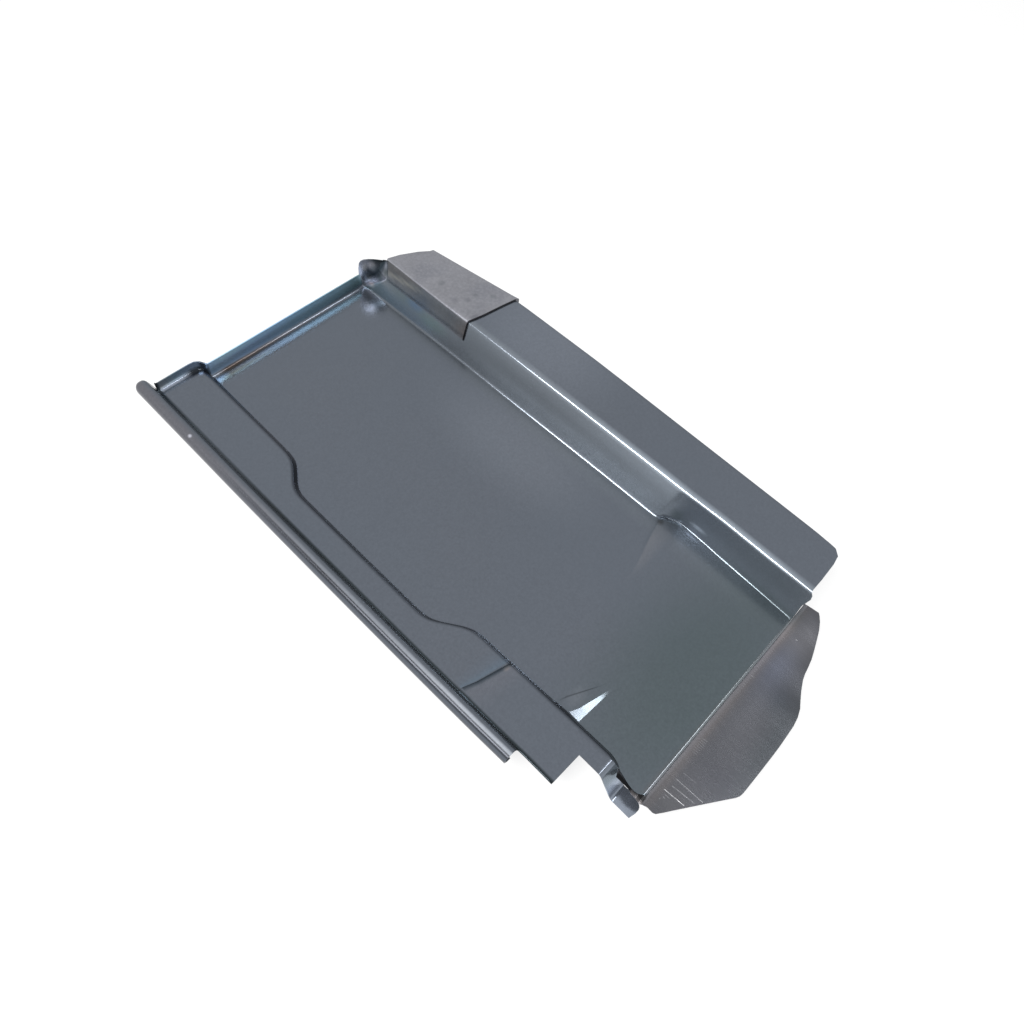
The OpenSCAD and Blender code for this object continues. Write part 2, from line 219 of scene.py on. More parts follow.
def rounded_row(knots, radii, parts, joined):
    """One row of the section, with its folds rounded and its flats cut into parts.

    The centres say where the knots are in the row, and the tags which knot each point is near.
    """
    last = len(knots) - 1
    flats = [knots[j + 1] - knots[j] for j in range(last)]
    ways = [flat / max(np.linalg.norm(flat), 1e-9) for flat in flats]
    spans = [np.linalg.norm(flat) if held else None for flat, held in zip(flats, joined)]
    out, centres, tags = [], [], []
    for j, knot in enumerate(knots):
        before = spans[j - 1] if j > 0 else None
        after = spans[j] if j < last else None
        radius = fold_radius(radii[j], before, after)
        for step in FOLD_STEPS if radii[j] > 0 else (0,):
            point, reach = knot, step * radius
            if radii[j] > 0 and before is not None and after is not None:
                point = point - ways[j - 1] * (radius - reach) ** 2 / (4 * radius)
                point = point + ways[j] * (radius + reach) ** 2 / (4 * radius)
            elif before is not None:
                point = knot + ways[j - 1] * min(reach, 0)
            elif after is not None:
                point = knot + ways[j] * max(reach, 0)
            if step == 0:
                centres.append(len(out))
            out.append(point)
            tags.append(j + 0.3 * step)
        if j < last and parts[j] > 1:
            start, end, first = out[-1], knots[j + 1], tags[-1]
            if radii[j + 1] > 0 and after is not None:
                beyond = spans[j + 1] if j + 1 < last else None
                end = end - ways[j] * fold_radius(radii[j + 1], after, beyond)
            for share in (s / parts[j] for s in range(1, parts[j])):
                out.append(mix(start, end, share))
                tags.append(mix(first, j + 1, share))
    return out, centres, tags


def stretched_mask(cells, centres, columns):
    """The mask of the rounded grid, from the mask of the knots."""
    wide = np.zeros((cells.shape[0], columns - 1), bool)
    for j in range(cells.shape[1]):
        wide[:, centres[j]:centres[j + 1]] = cells[:, j:j + 1]
    return wide


def open_sides(grid, cells):
    """The free sides of a sheet's cells, as (first corner, second corner, way out)."""
    held = np.pad(cells, 1)
    edges = []
    for k, j in np.argwhere(cells).tolist():
        a, b, c, d = (k, j), (k, j + 1), (k + 1, j + 1), (k + 1, j)
        # each side, as (its neighbour holds metal, its corners, the pairs that point out of the cell)
        sides = (
            (held[k + 1, j], d, a, (a, b, d, c)),
            (held[k + 1, j + 2], b, c, (b, a, c, d)),
            (held[k, j + 1], a, b, (a, d, b, c)),
            (held[k + 2, j + 1], c, d, (d, a, c, b)),
        )
        for taken, p, q, (e, f, g, h) in sides:
            if not taken:
                edges.append((p, q, unit(grid[e] - grid[f] + grid[g] - grid[h])))
    return edges


UPPER, LOWER, RIM = 0, 1, 2
RIM_ROUND = 0.16


def sheet_mesh(name, grid, cells, thick, painted_light_and_tone):
    """A closed sheet of even thickness about a grid of points.

    The cells say which squares hold metal, and the painted light, shade and tone colour the upper face and
    the rim.
    """
    across = np.cross(grid[1:, 1:] - grid[:-1, :-1], grid[1:, :-1] - grid[:-1, 1:])
    across[~cells] = 0
    even = unit(across)
    normal, offset, outward = np.zeros_like(grid), np.zeros_like(grid), np.zeros_like(grid)
    for corner in (np.s_[:-1, :-1], np.s_[1:, :-1], np.s_[:-1, 1:], np.s_[1:, 1:]):
        normal[corner] += across
        offset[corner] += even
    normal, offset = unit(normal), unit(offset)
    edges = open_sides(grid, cells)
    for p, q, way in edges:
        outward[p] += way
        outward[q] += way
    outward = unit(outward)
    verts, loops_n, faces, tints = [], [], [], []
    index = {}

    def vertex(side, p):
        key = (side, p)
        if key not in index:
            place = grid[p]
            if side != RIM:
                lift = thick / 2 if side == UPPER else -thick / 2
                place = place + offset[p] * lift - outward[p] * RIM_ROUND * thick
            index[key] = len(verts)
            verts.append(drawing(*place))
            tints.append((*(painted_light_and_tone[p] if side != LOWER else (1, 1, 1)), 1))
        return index[key]

    def face(keys, normals):
        faces.append([vertex(*key) for key in keys])
        loops_n.extend(normals)

    for k, j in np.argwhere(cells).tolist():
        a, b, c, d = (k, j), (k, j + 1), (k + 1, j + 1), (k + 1, j)
        face([(UPPER, p) for p in (a, b, c, d)], [normal[p] for p in (a, b, c, d)])
        face([(LOWER, p) for p in (a, d, c, b)], [-normal[p] for p in (a, d, c, b)])
    for p, q, _ in edges:
        up_p, up_q = unit(outward[p] + 0.6 * offset[p]), unit(outward[q] + 0.6 * offset[q])
        down_p, down_q = unit(outward[p] - 0.6 * offset[p]), unit(outward[q] - 0.6 * offset[q])
        face([(UPPER, q), (UPPER, p), (RIM, p), (RIM, q)], [up_q, up_p, outward[p], outward[q]])
        face([(RIM, q), (RIM, p), (LOWER, p), (LOWER, q)], [outward[q], outward[p], down_p, down_q])
    mesh = bpy.data.meshes.new(name)
    mesh.from_pydata(verts, [], faces)
    mesh.polygons.foreach_set("use_smooth", [True] * len(faces))
    mesh.update()
    # each point's painted light, shade and tone, read by the finishes
    layer = mesh.color_attributes.new("painted_light_and_tone", "FLOAT_COLOR", "POINT")
    layer.data.foreach_set("color", np.array(tints, float).ravel())
    mesh.normals_split_custom_set([tuple(n) for n in loops_n])
    return mesh


def new_piece(name, mesh, material, stands_for):
    old = bpy.data.objects.get(name)
    if old:
        bpy.data.objects.remove(old, do_unlink=True)
    piece = bpy.data.objects.new(name, mesh)
    bpy.context.scene.collection.objects.link(piece)
    mesh.materials.clear()
    mesh.materials.append(material)
    mesh.polygons.foreach_set("material_index", [0] * len(mesh.polygons))
    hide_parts(stands_for)
    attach(piece, "root")
    return piece


# ---------------------------------------------------------------- the steel panel

# A row across the panel: its kind, its y on the pan and on the tab, and its step. The step is the
# distance from the crease, the share of the dart, or the row's number in NOSE or LIP.
Row = namedtuple("Row", "kind y tab_y step")


def panel_rows():
    """Rows from the nose to the back lip."""
    rows = [("nose", 0.0, t, i) for i, t in enumerate(NOSE_TAB)]
    rows += [("tab", y, t, 0) for y, t in (
        (3.2, 5.5), (5, 7.5), (6.6, 9.4), (8, 10.6), (9.2, 11.4), (10.4, 12), (11.6, 12.8), (12.8, 13.8),
        (14.4, 15.4), (16.4, 17.4), (18, 19), (19.4, 20.2), (20.8, 21.4), (22.2, 22.6), (23.2, 23.3),
        (24.2, 24.2), (25.4, 25.4))]
    rows += [("plain", y, y, 0) for y in (28, 32, 36, 39.6, 43, 47)]
    rows += [("dart", 0, t, s) for t, s in (
        (50, -0.1), (51.6, 0), (52.2, 0.06), (54.2, 0.5), (56, 0.94), (56.8, 1.0), (58, 1.08), (60.5, 1.4),
        (62.5, 1.7), (63.8, 1.9), (65, 2.0), (66, 2.12))]
    rows += [("plain", y, y, 0) for y in (72, 78, 84, 88)]
    rows += [("crease", 0, 0, s) for s in (
        -12, -9.5, -8, -6.5, -5, -3, -1.6, -0.7, 0, 0.4, 0.8, 1.2, 1.8, 3, 4.2, 5.2, 6.2, 8)]
    rows += [("plain", y, y, 0) for y in (
        119, 123, 127, 129.5, 132, 134.5, 137, 140, 144, 148, 152, 154.5, 157, 159.5, 162, 165, 170, 185,
        219, 255, 270, 274, 277, 279.5, 282, 285, 288, 292, 296, 299, 301.5, 304, 307, 311, 320, 335)]
    rows += [("tail", y, 0, 0) for y in (348, 362, 372, 380, 386, 390, 393)]
    rows += [("lip", 0, 0, i) for i in range(len(LIP))]
    return [Row(*row) for row in rows]


class Panel:
    """Every place on the pressed sheet, in drawing millimetres."""

    def __init__(self, sizes):
        self.half = sizes.sheet * MM_IN_M / 2
        self.rise = sizes.strip_rise * MM_IN_M
        self.step = sizes.strip_step * MM_IN_M
        self.hem = sizes.hem_rise * MM_IN_M
        self.drop = sizes.tab_drop * MM_IN_M
        self.rib = sizes.rib_height * MM_IN_M
        self.lip = sizes.lip_height * MM_IN_M
        self.dart = sizes.dart_height * MM_IN_M

    # heights and places that depend on the row
    def base_y(self, row):
        if row.kind == "dart":
            return row.tab_y
        if row.kind == "crease":
            return CREASE_Y + row.step
        if row.kind == "lip":
            return BACK_Y + LIP[row.step][0]
        return row.y

    def strip_lift(self, row):
        """The strip's rise towards its crease; the step is down again behind it."""
        if row.kind == "crease" and row.step > -0.1:
            return self.step * (1 - smooth01((row.step + 0.1) / 1.3))
        if row.kind == "crease":
            return self.step * mix(0.45, 1, smooth01((row.step + CREASE_FRONT) / CREASE_FRONT))
        if row.kind in ("plain", "tail") and row.y <= 100:
            return self.step * (0.45 * smooth01((row.y - 66) / 26))
        return 0.0

    def strip_y(self, row, x):
        if row.kind in ("nose", "tab", "dart"):
            return row.tab_y
        if row.kind == "crease":
            keep = 1 - abs(row.step) / CREASE_REACH
            return CREASE_Y + row.step - 0.26 * (x * keep)
        if row.kind == "tail":
            return mix(TAIL_Y, 400.4, (row.y - TAIL_Y) / TAIL_LENGTH)
        if row.kind == "lip":
            # the lip turns forward round a wide corner at the strip's right edge
            turn = smooth01((x + 8.5) / 15)
            return 403.2 + LIP[row.step][0] * 0.95 + 0.02 * (x + 20) - 9.5 * turn * turn
        return row.y

    def hem_y(self, row):
        if row.kind == "dart":
            return row.tab_y
        if row.kind == "crease":
            return CREASE_Y + row.step + 8.6 * (1 - abs(row.step) / CREASE_REACH)
        if row.kind == "tail":
            return mix(TAIL_Y, 402, (row.y - TAIL_Y) / TAIL_LENGTH)
        if row.kind == "lip":
            return LIP[row.step][3]
        return row.y

    def lip_rise(self, row):
        return LIP[row.step][1] * (self.lip + self.half) if row.kind == "lip" else 0.0

    def hem_points(self, row):
        y = self.hem_y(row)
        edge = softened(y, HEM_EDGE, 8) + self.half + 0.03
        shrink = 1.0
        if row.kind == "lip":
            shrink = math.sqrt(max(0.012, 1 - (max(0.0, y - 408.3) / 5.6) ** 2))
        low = self.rise - self.half
        points = []
        for inset, up in HEM[:HEM_ROLL]:
            points.append((edge + mix(5.1, inset, shrink), y, low + self.hem * mix(0.5, up, shrink)))
        height = self.strip_height(row)
        for inset, up in HEM[HEM_ROLL:]:
            x = softened(max(60, y), HEM_EDGE, 8) + inset + self.half
            points.append((x, self.strip_y(row, x) if row.kind == "lip" else y, height + self.hem * up))
        return curved(points, HEM_PARTS)

    def strip_height(self, row):
        return self.rise - self.half + self.strip_lift(row) + self.lip_rise(row) * 0.56

    def strip_edge(self, row):
        if row.kind in ("nose", "tab"):
            return along(row.tab_y, TAB_EDGE)
        return softened(self.base_y(row), WALL_MID, 5) - 1.7

    def tab_z(self, t):
        rise = softened(t, [(-10, 0), (11.9, 0), (23.9, 1), (60, 1)], 1.7)
        return mix(-self.drop - self.half, self.rise - self.half, rise)

    def strip_point(self, row, x):
        if row.kind in ("nose", "tab"):
            bulge = 1.1 * smooth01((x + 7.6) / 4) * clamp01((2 - row.tab_y) / 4)
            return (x, row.tab_y - bulge, self.tab_z(row.tab_y))
        return (x, self.strip_y(row, x), self.strip_height(row))

    def wall_foot(self, y):
        return softened(max(0.01, y), CORNER, 3) if y < 30 else softened(y, WALL_MID, 5) + 1.2

    def pan_foot(self, row):
        if row.kind == "nose":
            return self.wall_foot(0.01) + mix(4.6, 2.4, row.step / NOSE_LAST)
        y = self.base_y(row)
        if y < 25.5:
            return self.wall_foot(y) + mix(2.2, 0.7, y / 25)
        return softened(min(y, 398), WALL_MID, 5) + 1.4

    def wall_points(self, row):
        """Two points on the wall between the strip and the pan."""
        y = self.base_y(row)
        if row.kind == "nose":
            back, z = NOSE[row.step]
            foot = self.wall_foot(0.01)
            turn = 3.2 * (1 - row.step / NOSE_LAST) ** 1.5
            return [(foot - 0.1 + turn, nose_y(foot) + back, z), (foot + 0.9 + turn, nose_y(foot) + back, z)]
        if row.kind == "tab":
            foot = self.wall_foot(y)
            height = max(0.0, self.tab_z(row.tab_y) + self.half) * 0.82
            top = height / self.rise
            upper = (foot - 2.6 * top - 0.2, mix(y, row.tab_y, 0.5 * top), height - self.half)
            return [upper, (foot + 0.1, y, 0.1 * height - self.half)]
        edge = np.array(self.strip_point(row, self.strip_edge(row)))
        pan = np.array(self.pan_point(row, self.pan_foot(row)))
        return [mix(edge, pan, 0.42), mix(edge, pan, 0.62)]

    # the pan with its darts
    def dart_z(self, share, x):
        """The left dart's height: up at share 0 to 1, nearly level to 1.8 and down at 2.1."""
        if share <= 0 or share >= 2.1 or x > 40:
            return 0.0
        if share <= 1:
            up = share
        elif share < 1.8:
            up = 1.0 - 0.04 * (share - 1)
        else:
            up = (2.1 - share) / 0.3 * 0.97
        return self.dart * up * clamp01(1 - (x - 8) / 30)

    def pan_y(self, row, x):
        kind, y, tab_y, step = row
        if kind == "nose":
            return nose_y(x) + NOSE[step][0]
        if kind == "tab":
            return max(y, nose_y(x) + 1.5 + y * 0.12) if y < 8 else y
        if kind == "dart":
            if x > 50:
                return tab_y
            front, top, back = along(x, DART_FRONT), along(x, DART_TOP), along(x, DART_BACK)
            near = mix(front, top, step) if step <= 1 else mix(top, back, step - 1)
            return mix(tab_y, near, clamp01((50 - x) / 8))
        if kind == "crease":
            if x <= 60:
                return CREASE_Y + step
            # the right dart's crease runs back beside the rib's jog
            share = clamp01((x - 85) / 63)
            line = max(94.0, mix(86.9, 107.6, share))
            keep = max(0.0, 1 - abs(step) / CREASE_REACH)
            return mix(CREASE_Y + step, line + step * mix(0.8, 1.0, share), keep)
        if kind == "lip":
            return BACK_Y + LIP[step][0] + 0.0157 * (x - 60)
        return y

    def pan_point(self, row, x):
        kind, y, _, step = row
        z = NOSE[step][1] if kind == "nose" else -self.half + self.lip_rise(row)
        if kind == "dart":
            z += self.dart_z(step, x)
        if x > 85:
            share = clamp01((x - 88) / 58)
            if kind == "crease":
                front = mix(0.35, 1, smooth01((step + CREASE_FRONT) / CREASE_FRONT))
                lift = 1 - smooth01((step + 0.4) / 1.6) if step > -0.4 else front
                z += 0.6 * self.dart / 1.8 * lift * share
            elif kind == "plain" and 60 < y < 100:
                z += 0.6 * self.dart / 1.8 * 0.35 * smooth01((y - 66) / 24) * share
        return (x, self.pan_y(row, x), z)

    # rib wall, ear and flange
    def rib_y(self, row, u):
        kind, y, _, step = row
        start = along(u, [(0, 2.7), (0.16, 2.9), (0.5, 3.6), (0.7, 2.6), (0.84, 1.9), (0.92, 3.0), (1, 4.9)])
        if kind == "nose":
            return start * (step / NOSE_LAST) + (step - NOSE_LAST) * 0.1
        if kind == "tab":
            return start + (y - TAB_START_Y) * (TAB_ROOT_Y - start) / TAB_LENGTH
        if kind == "tail":
            share = (y - TAIL_Y) / TAIL_LENGTH
            tail = smooth01(share) * 0.6 + 0.4 * (y - TAIL_Y) / TAIL_LENGTH
            return y - tail * along(u, [(0, 1), (0.25, 6), (0.5, 11.4), (0.62, 11.2), (0.75, 9.6), (1, 6)])
        return self.base_y(row)

    def ear_points(self, row):
        """The ear's row, between the two rows of EAR that it lies between."""
        share, places = LIP[row.step][2], [0, 0.1, 0.52, 1]
        i = min(2, int(np.searchsorted(places, share, side="right") - 1))
        between = (share - places[i]) / (places[i + 1] - places[i])
        points = mix(EAR[i], EAR[i + 1], clamp01(between)).copy()
        points[0, 2] *= self.lip / 11.8
        points[1:, 2] *= self.rib / 25
        points[:, 2] -= self.half
        return list(curved(points, 2))

    def rib_points(self, row):
        if row.kind == "lip":
            return self.ear_points(row)
        points = []
        for u in (0, 0.1, 0.2, 0.3, 0.4, 0.5, 0.6, 0.7, 0.8, 0.9, 1):
            y = self.rib_y(row, u)
            foot, crest = softened(y, RIB_FOOT, 1.2), softened(y, RIB_CREST, 6)
            z = mix(0, self.rib, u) - self.half
            if u == 0:
                z = self.pan_point(row, foot)[2]
                y = self.pan_y(row, foot) if row.kind in ("crease", "nose") else y
                foot -= 1.3 * (1 - row.step / NOSE_LAST) if row.kind == "nose" else 0
            points.append((mix(foot, crest, u), y, z))
        return points

    def flange_points(self, row):
        """Five points from the crest to the flange's edge; its front and back ends run askew."""
        kind, y, _, step = row
        points = []
        ends = ((5.0, 385.5), (5.8, 380), (7.0, 373.5), (10.8, 371), (16.1, 370))
        for c, (front_y, back_y) in enumerate(ends):
            place = self.base_y(row)
            if kind in ("nose", "tab"):
                place = front_y + max(0.0, y - TAB_START_Y) * (TAB_ROOT_Y - front_y) / TAB_LENGTH
                place += (step - NOSE_LAST) * 0.02 * (kind == "nose")
            elif kind == "tail":
                place = mix(TAIL_Y, back_y, (y - TAIL_Y) / TAIL_LENGTH)
            elif kind == "lip":
                place = back_y + 0.05 * step
            crest, edge = softened(place, RIB_CREST, 6), softened(place, FLANGE_EDGE, 10)
            front = clamp01(1 - (place - 5) / 20)
            inset = (0, 12, mix(3.4, 5.3, front), mix(0.5, 1.8, front), 0)[c]
            x = mix(crest, edge, 0.3) if c == 0 else edge - inset
            points.append((x, place, self.rib - self.half - (0, 0, 0, 0.15, 1.2)[c]))
        return points

    def row(self, row):
        """The whole section at one row, as knots."""
        edge = self.strip_edge(row)
        if row.kind in ("nose", "tab"):
            places = [-8, -8, -3.4, edge]
        else:
            before_edge = edge - (5.5 if self.base_y(row) < 50 else 3)
            places = [min(-20, edge - 8), min(-8, edge - 4), before_edge, edge]
        strip = [self.strip_point(row, x) for x in places]
        if row.kind in ("nose", "tab"):
            x, y, z = strip[1]
            strip[0] = (x - 4.0, y, z)
        pan = [self.pan_point(row, x) for x in (self.pan_foot(row), *PAN_X)]
        knots = [*self.hem_points(row), *strip, *self.wall_points(row), *pan]
        knots += [*self.rib_points(row), *self.flange_points(row)]
        return [np.array(p, float) for p in knots]


Marks = namedtuple("Marks", "strip slit pan rib")


def panel_grid(sizes):
    """The panel's grid of points, its mask and its painted light, shade and tones."""
    panel = Panel(sizes)
    rows = panel_rows()
    hem_open, hem_root = 9 * HEM_PARTS, 10 * HEM_PARTS
    # columns at which the strip, the slit beside it, the pan, the rib and the flange begin
    strip = (len(HEM) - 1) * HEM_PARTS + 1
    slit = strip + 3
    pan = slit + 3
    rib = pan + 1 + len(PAN_X)
    flange = rib + 11
    total = flange + 5
    radii, parts = [0.0] * total, [1] * total
    radii[slit], radii[pan], radii[rib], radii[rib + 10], radii[flange + 3] = 1.3, 1.3, 3.0, 2.9, 0.9
    parts[strip - 1], parts[strip], parts[slit - 1], parts[rib + 10] = 3, 3, 2, 3
    cells = np.ones((len(rows) - 1, total - 1), bool)
    for k, row in enumerate(rows[:-1]):
        front = row.kind in ("nose", "tab")
        y = panel.base_y(row)
        if front or y < HEM_START_Y:
            cells[k, :hem_root] = False
        if front or y < STRIP_START_Y:
            cells[k, :strip + 1] = False
        if front and y < SLIT_END_Y:
            cells[k, slit] = False
        if row.kind == "nose":
            cells[k, rib:] = False
        if row.kind == "lip":
            cells[k, hem_open:hem_root] = row.step < 4
            cells[k, flange - 1:] = False
    marks = Marks(strip, slit, pan, rib)
    held = np.pad(cells, ((1, 1), (0, 0)))
    grid, painted_light_and_tone = [], []
    for k, row in enumerate(rows):
        line, centres, tags = rounded_row(panel.row(row), radii, parts, held[k] | held[k + 1])
        grid.append(line)
        painted_light_and_tone.append([panel_painted_light(row, tag, place, marks) for tag, place in zip(tags, line)])
    return np.array(grid), stretched_mask(cells, centres, len(grid[0])), np.array(painted_light_and_tone)


# ---------------------------------------------------------------- painted light, shade and tones of the panel


class Tint:
    """A factor on the finish's colour at one place, built up from soft layers of painted light, shade and
    tone.
    """

    def __init__(self):
        self.value = np.ones(3)

    def layer(self, colour, *shares):
        self.value = self.value * mix(np.ones(3), np.array(colour), clamp01(math.prod(shares)))

    def times(self, factor):
        self.value = self.value * factor


def hem_painted_light(tint, tag, place):
    """The hem: painted shade on its inside, its outer side darker and browner towards the front and warmer
    towards the back, and a painted dark line and a painted highlight along its top.
    """
    x, y, z = place
    roll = [
        (20.5, 0), (22, 0.45), (24, 0.75), (26, 0.8), (27.5, 0.6 if y > 325 else 0.25), (29, 0.92), (32.5, 1),
        (33.5, 0.7), (35, 0),
    ]
    # painted shade on the inside of the roll
    painted_light_level = mix(np.array([0.19, 0.23, 0.22]), np.array([0.34, 0.38, 0.38]), clamp01((y - 270) / 50))
    tint.layer(painted_light_level, along(tag, roll))
    tint.layer((1.18, 1.06, 1.0), along(tag, [(3, 1), (18, 1), (21, 0)]), along(y, [(200, 0), (330, 1)]))
    side = along(tag, [(5, 1), (10, 1), (13, 0)])
    tint.layer((0.88, 0.83, 0.79), side, along(y, [(66, 1), (200, 0.5), (300, 0)]))
    # a painted dark line and a painted highlight along the top
    if z > HEM_TOP_Z:
        inward = x - softened(y, HEM_EDGE, 8)
        dark = along(inward, [(1.6, 0), (2.2, 1), (3.5, 1), (3.9, 0)])
        tint.layer((0.2, 0.19, 0.19), dark, along(y, [(60, 1), (220, 1), (330, 0)]))
        bright = along(inward, [(3.6, 0), (4, 1), (5.1, 1), (5.8, 0)])
        tint.layer((3.9, 3.7, 3.45), bright, along(y, [(60, 1), (110, 1), (150, 0.6), (200, 0.4), (330, 0)]))


def crease_painted_light(tint, step, tag, x, at):
    """The strip's crease with a painted dark line and painted lighter bands on either side, and the right
    dart with a painted dark line at its crease and a painted paler fan in front.
    """
    if at.strip - 2 < tag < at.slit + 0.3:
        line = along(step, [(-1.2, 0), (-0.3, 0.9), (0.4, 1), (1.1, 0.9), (1.9, 0)])
        tint.layer((0.25, 0.3, 0.33), line)
        tint.layer((1.16, 1.1, 1.08), along(step, [(-12, 0), (-2, 0.8), (-1, 0)]))
        tint.layer((1.0, 1.14, 1.22), along(step, [(1.6, 0), (2.6, 1), (8, 0.3)]))
    if at.pan < tag < at.rib - 0.3:
        line = along(step, [(-0.7, 0), (0, 0.7), (0.8, 0.8), (2.4, 0)])
        tint.layer((0.72, 0.75, 0.76), along(x, [(122, 0), (140, 0.8), (150, 1)]), line)
        fan = along(step, [(-12, 0), (-8, 0.5), (-3, 0.9), (-0.9, 1), (0.2, 0)])
        tint.layer((1.3, 1.22, 1.16), along(x, [(103, 0), (112, 0.7), (140, 1), (150, 0.8)]), fan)


def pan_end_painted_reflection(tint, x, y):
    """A painted reflection: the pan darkens where it mirrors the dull lip behind it."""
    share = along(x, [(5, 0.62), (40, 0.5), (80, 0.26), (115, 0.1), (130, 0)])
    place = along(y, [(387, 0), (390, 1), (396.5, 1), (397.5, 0)])
    tint.times(1 - share * place * np.array([1.08, 1.28, 1.4]))


def rib_painted_light(tint, rib, y):
    """Painted light on the rib: its wall's brightness between its low and high parts, painted highlights at
    its two folds, and painted shade along the flange's outer edge.
    """
    if -0.4 < rib < 10.35:
        tone = mix(along(y, WALL_LOW_PAINTED_LIGHT), along(y, WALL_HIGH_PAINTED_LIGHT), smooth01((rib / 10 - 0.3) / 0.3))
        tint.times(mix(1.0, tone, clamp01((rib + 0.1) / 0.5)))
        tint.times(np.array([1.0, 1.0, 0.96]))
        tint.times(mix(1.0, along(y, FOOT_PAINTED_LIGHT), clamp01(1 - abs(rib) / 0.35)))
        tint.times(mix(1.0, along(y, CREST_PAINTED_LIGHT), clamp01(1 - abs(rib - 10) / 0.4)))
    if rib > 13.6:
        outer = along(rib, [(13.6, 0), (14, 0.6), (15, 1)])
        tint.layer((0.55, 0.56, 0.58), outer, along(y, [(20, 0), (30, 1)]))


def pan_lip_painted_light(tint, up, tag, x, at):
    """The pan's lip: a pale blue painted reflection on its face, a painted highlight along its foot, a
    painted darker band above it and a painted bright upper edge.
    """
    face = along(up, [(0.1, 0), (0.35, 1)])
    colour = [along(x, table) for table in PAN_LIP_PAINTED_LIGHT]
    tint.layer(colour, face * along(tag, [(at.pan, 0.6), (at.pan + 1, 1)]))
    tint.layer((1.35, 1.35, 1.35), along(up, [(0.02, 0), (0.05, 0.8), (0.09, 0)]))
    tint.layer((0.7, 0.74, 0.8), along(up, [(0.1, 0), (0.2, 1), (0.33, 0.8), (0.52, 0)]))
    tint.layer((1.5, 1.5, 1.55), along(up, [(0.55, 0), (0.76, 1)]))


def strip_lip_painted_light(tint, up, x):
    """The strip's lip: a pale painted reflection on its face, a painted highlight along its foot on the left
    and painted shade at its corner.
    """
    tint.layer([along(x, table) for table in STRIP_LIP_PAINTED_LIGHT], along(up, [(0.1, 0), (0.35, 1)]))
    foot = along(up, [(0, 0), (0.03, 1), (0.16, 1), (0.25, 0)])
    tint.layer((2.3, 2.3, 2.35), foot, along(x, [(-16, 1), (-9, 0)]))
    corner = along(x, [(-14, 0), (-9, 1), (-2, 1), (3, 0)])
    tint.layer((0.14, 0.15, 0.16), along(up, [(0, 1), (0.3, 1), (0.5, 0)]), corner)


def ear_painted_light(tint, up, column):
    """Painted light and shade on the faces between the ear's folds."""
    for colour, rising, across in EAR_PAINTED_LIGHT:
        tint.layer(colour, along(up, rising), along(column, across))


def panel_painted_light(row, tag, place, at):
    """Painted light of the zinc at one place: painted shade and highlights at its folds, faces and edges, and
    a few tones.
    """
    kind, _, tab_y, step = row
    x, y, _ = place
    tint = Tint()
    if tag < at.strip:
        hem_painted_light(tint, tag, place)
    elif kind in ("nose", "tab") and tag < at.slit + 0.5:
        # painted light and shade along the tab
        tint.times(along(tab_y, TAB_PAINTED_LIGHT))
    # a painted highlight along the nose's fold, made less blue
    if kind == "nose" and tag >= at.pan - 0.5:
        tint.times((1.0, 1.0, 1.2, 2.4, 1.3, 1.0)[step])
        tint.times(np.array([1.06, 0.96, 0.93]))
    # the step wall between the strip and the pan is painted nearly black as shade
    wall = along(tag, [
        (at.slit - 0.4, 0), (at.slit - 0.1, 0.6), (at.slit + 0.3, 1), (at.pan - 0.7, 1), (at.pan - 0.25, 0.8),
        (at.pan + 0.05, 0)])
    tint.layer((0.09, 0.1, 0.13), wall, along(y, [(19, 0), (24, 1), (396, 1), (400, 0.8)]))
    if kind == "crease":
        crease_painted_light(tint, step, tag, x, at)
    if kind in ("tail", "lip") and at.pan + 0.5 < tag < at.rib - 0.3:
        pan_end_painted_reflection(tint, x, y)
    if kind == "dart" and at.pan + 0.5 < tag:
        # a painted dark line along the left dart's back foot
        line = along(x, [(9, 0), (11, 0.8), (24, 1), (31, 0.7), (34, 0)])
        tint.layer((0.4, 0.42, 0.42), along(step, [(1.95, 0), (2.0, 1), (2.06, 0)]), line)
    if kind != "lip":
        rib_painted_light(tint, tag - at.rib, y)
    elif at.pan - 0.5 < tag <= at.rib:
        pan_lip_painted_light(tint, LIP[step][1], tag, x, at)
    elif tag > at.rib:
        ear_painted_light(tint, LIP[step][1], tag - at.rib)
    elif tag > HEM_FOOT:
        strip_lip_painted_light(tint, LIP[step][1], x)
    return tint.value


# Painted light and shade on the tab from its tip to the strip, as its brightness, with painted highlights at
# its folds
TAB_PAINTED_LIGHT = [
    (-2, 1.9), (4, 2.3), (8, 2.2), (10.4, 2.0), (11.2, 1.9), (11.9, 2.2), (12.4, 2.0), (12.9, 1.6),
    (13.6, 2.0), (14.2, 2.2), (15.2, 4.2), (16, 4.4), (17, 3.6), (19, 2.5), (21.6, 2.0), (22.4, 1.7),
    (23.1, 1.7), (24, 1.5), (24.6, 1.3), (25.2, 1),
]

# Painted light along the rib: the brightness of its wall's low and high parts, and painted highlights at the
# folds at its foot and crest
WALL_LOW_PAINTED_LIGHT = [
    (5, 2.0), (15, 2.2), (40, 2.3), (65, 2.5), (85, 2.5), (96, 2.0), (106, 1.9), (115, 2.8), (135, 2.95),
    (165, 2.9), (200, 2.4), (240, 2.15), (280, 1.72), (310, 1.45), (330, 1.3), (350, 1.17), (370, 1.3),
    (380, 1.5),
]
WALL_HIGH_PAINTED_LIGHT = [
    (5, 1.9), (15, 1.9), (40, 2.15), (85, 2.15), (100, 2.1), (115, 2.2), (135, 2.05), (165, 1.9),
    (200, 1.5), (240, 1.35), (310, 1.3), (380, 1.1),
]
FOOT_PAINTED_LIGHT = [
    (5, 0.8), (20, 0.9), (30, 1.4), (45, 2.4), (88, 2.4), (94, 0.5), (106, 0.45), (111, 1.6), (120, 2.4),
    (200, 2.2), (230, 1.4), (283, 0.9), (380, 0.8),
]
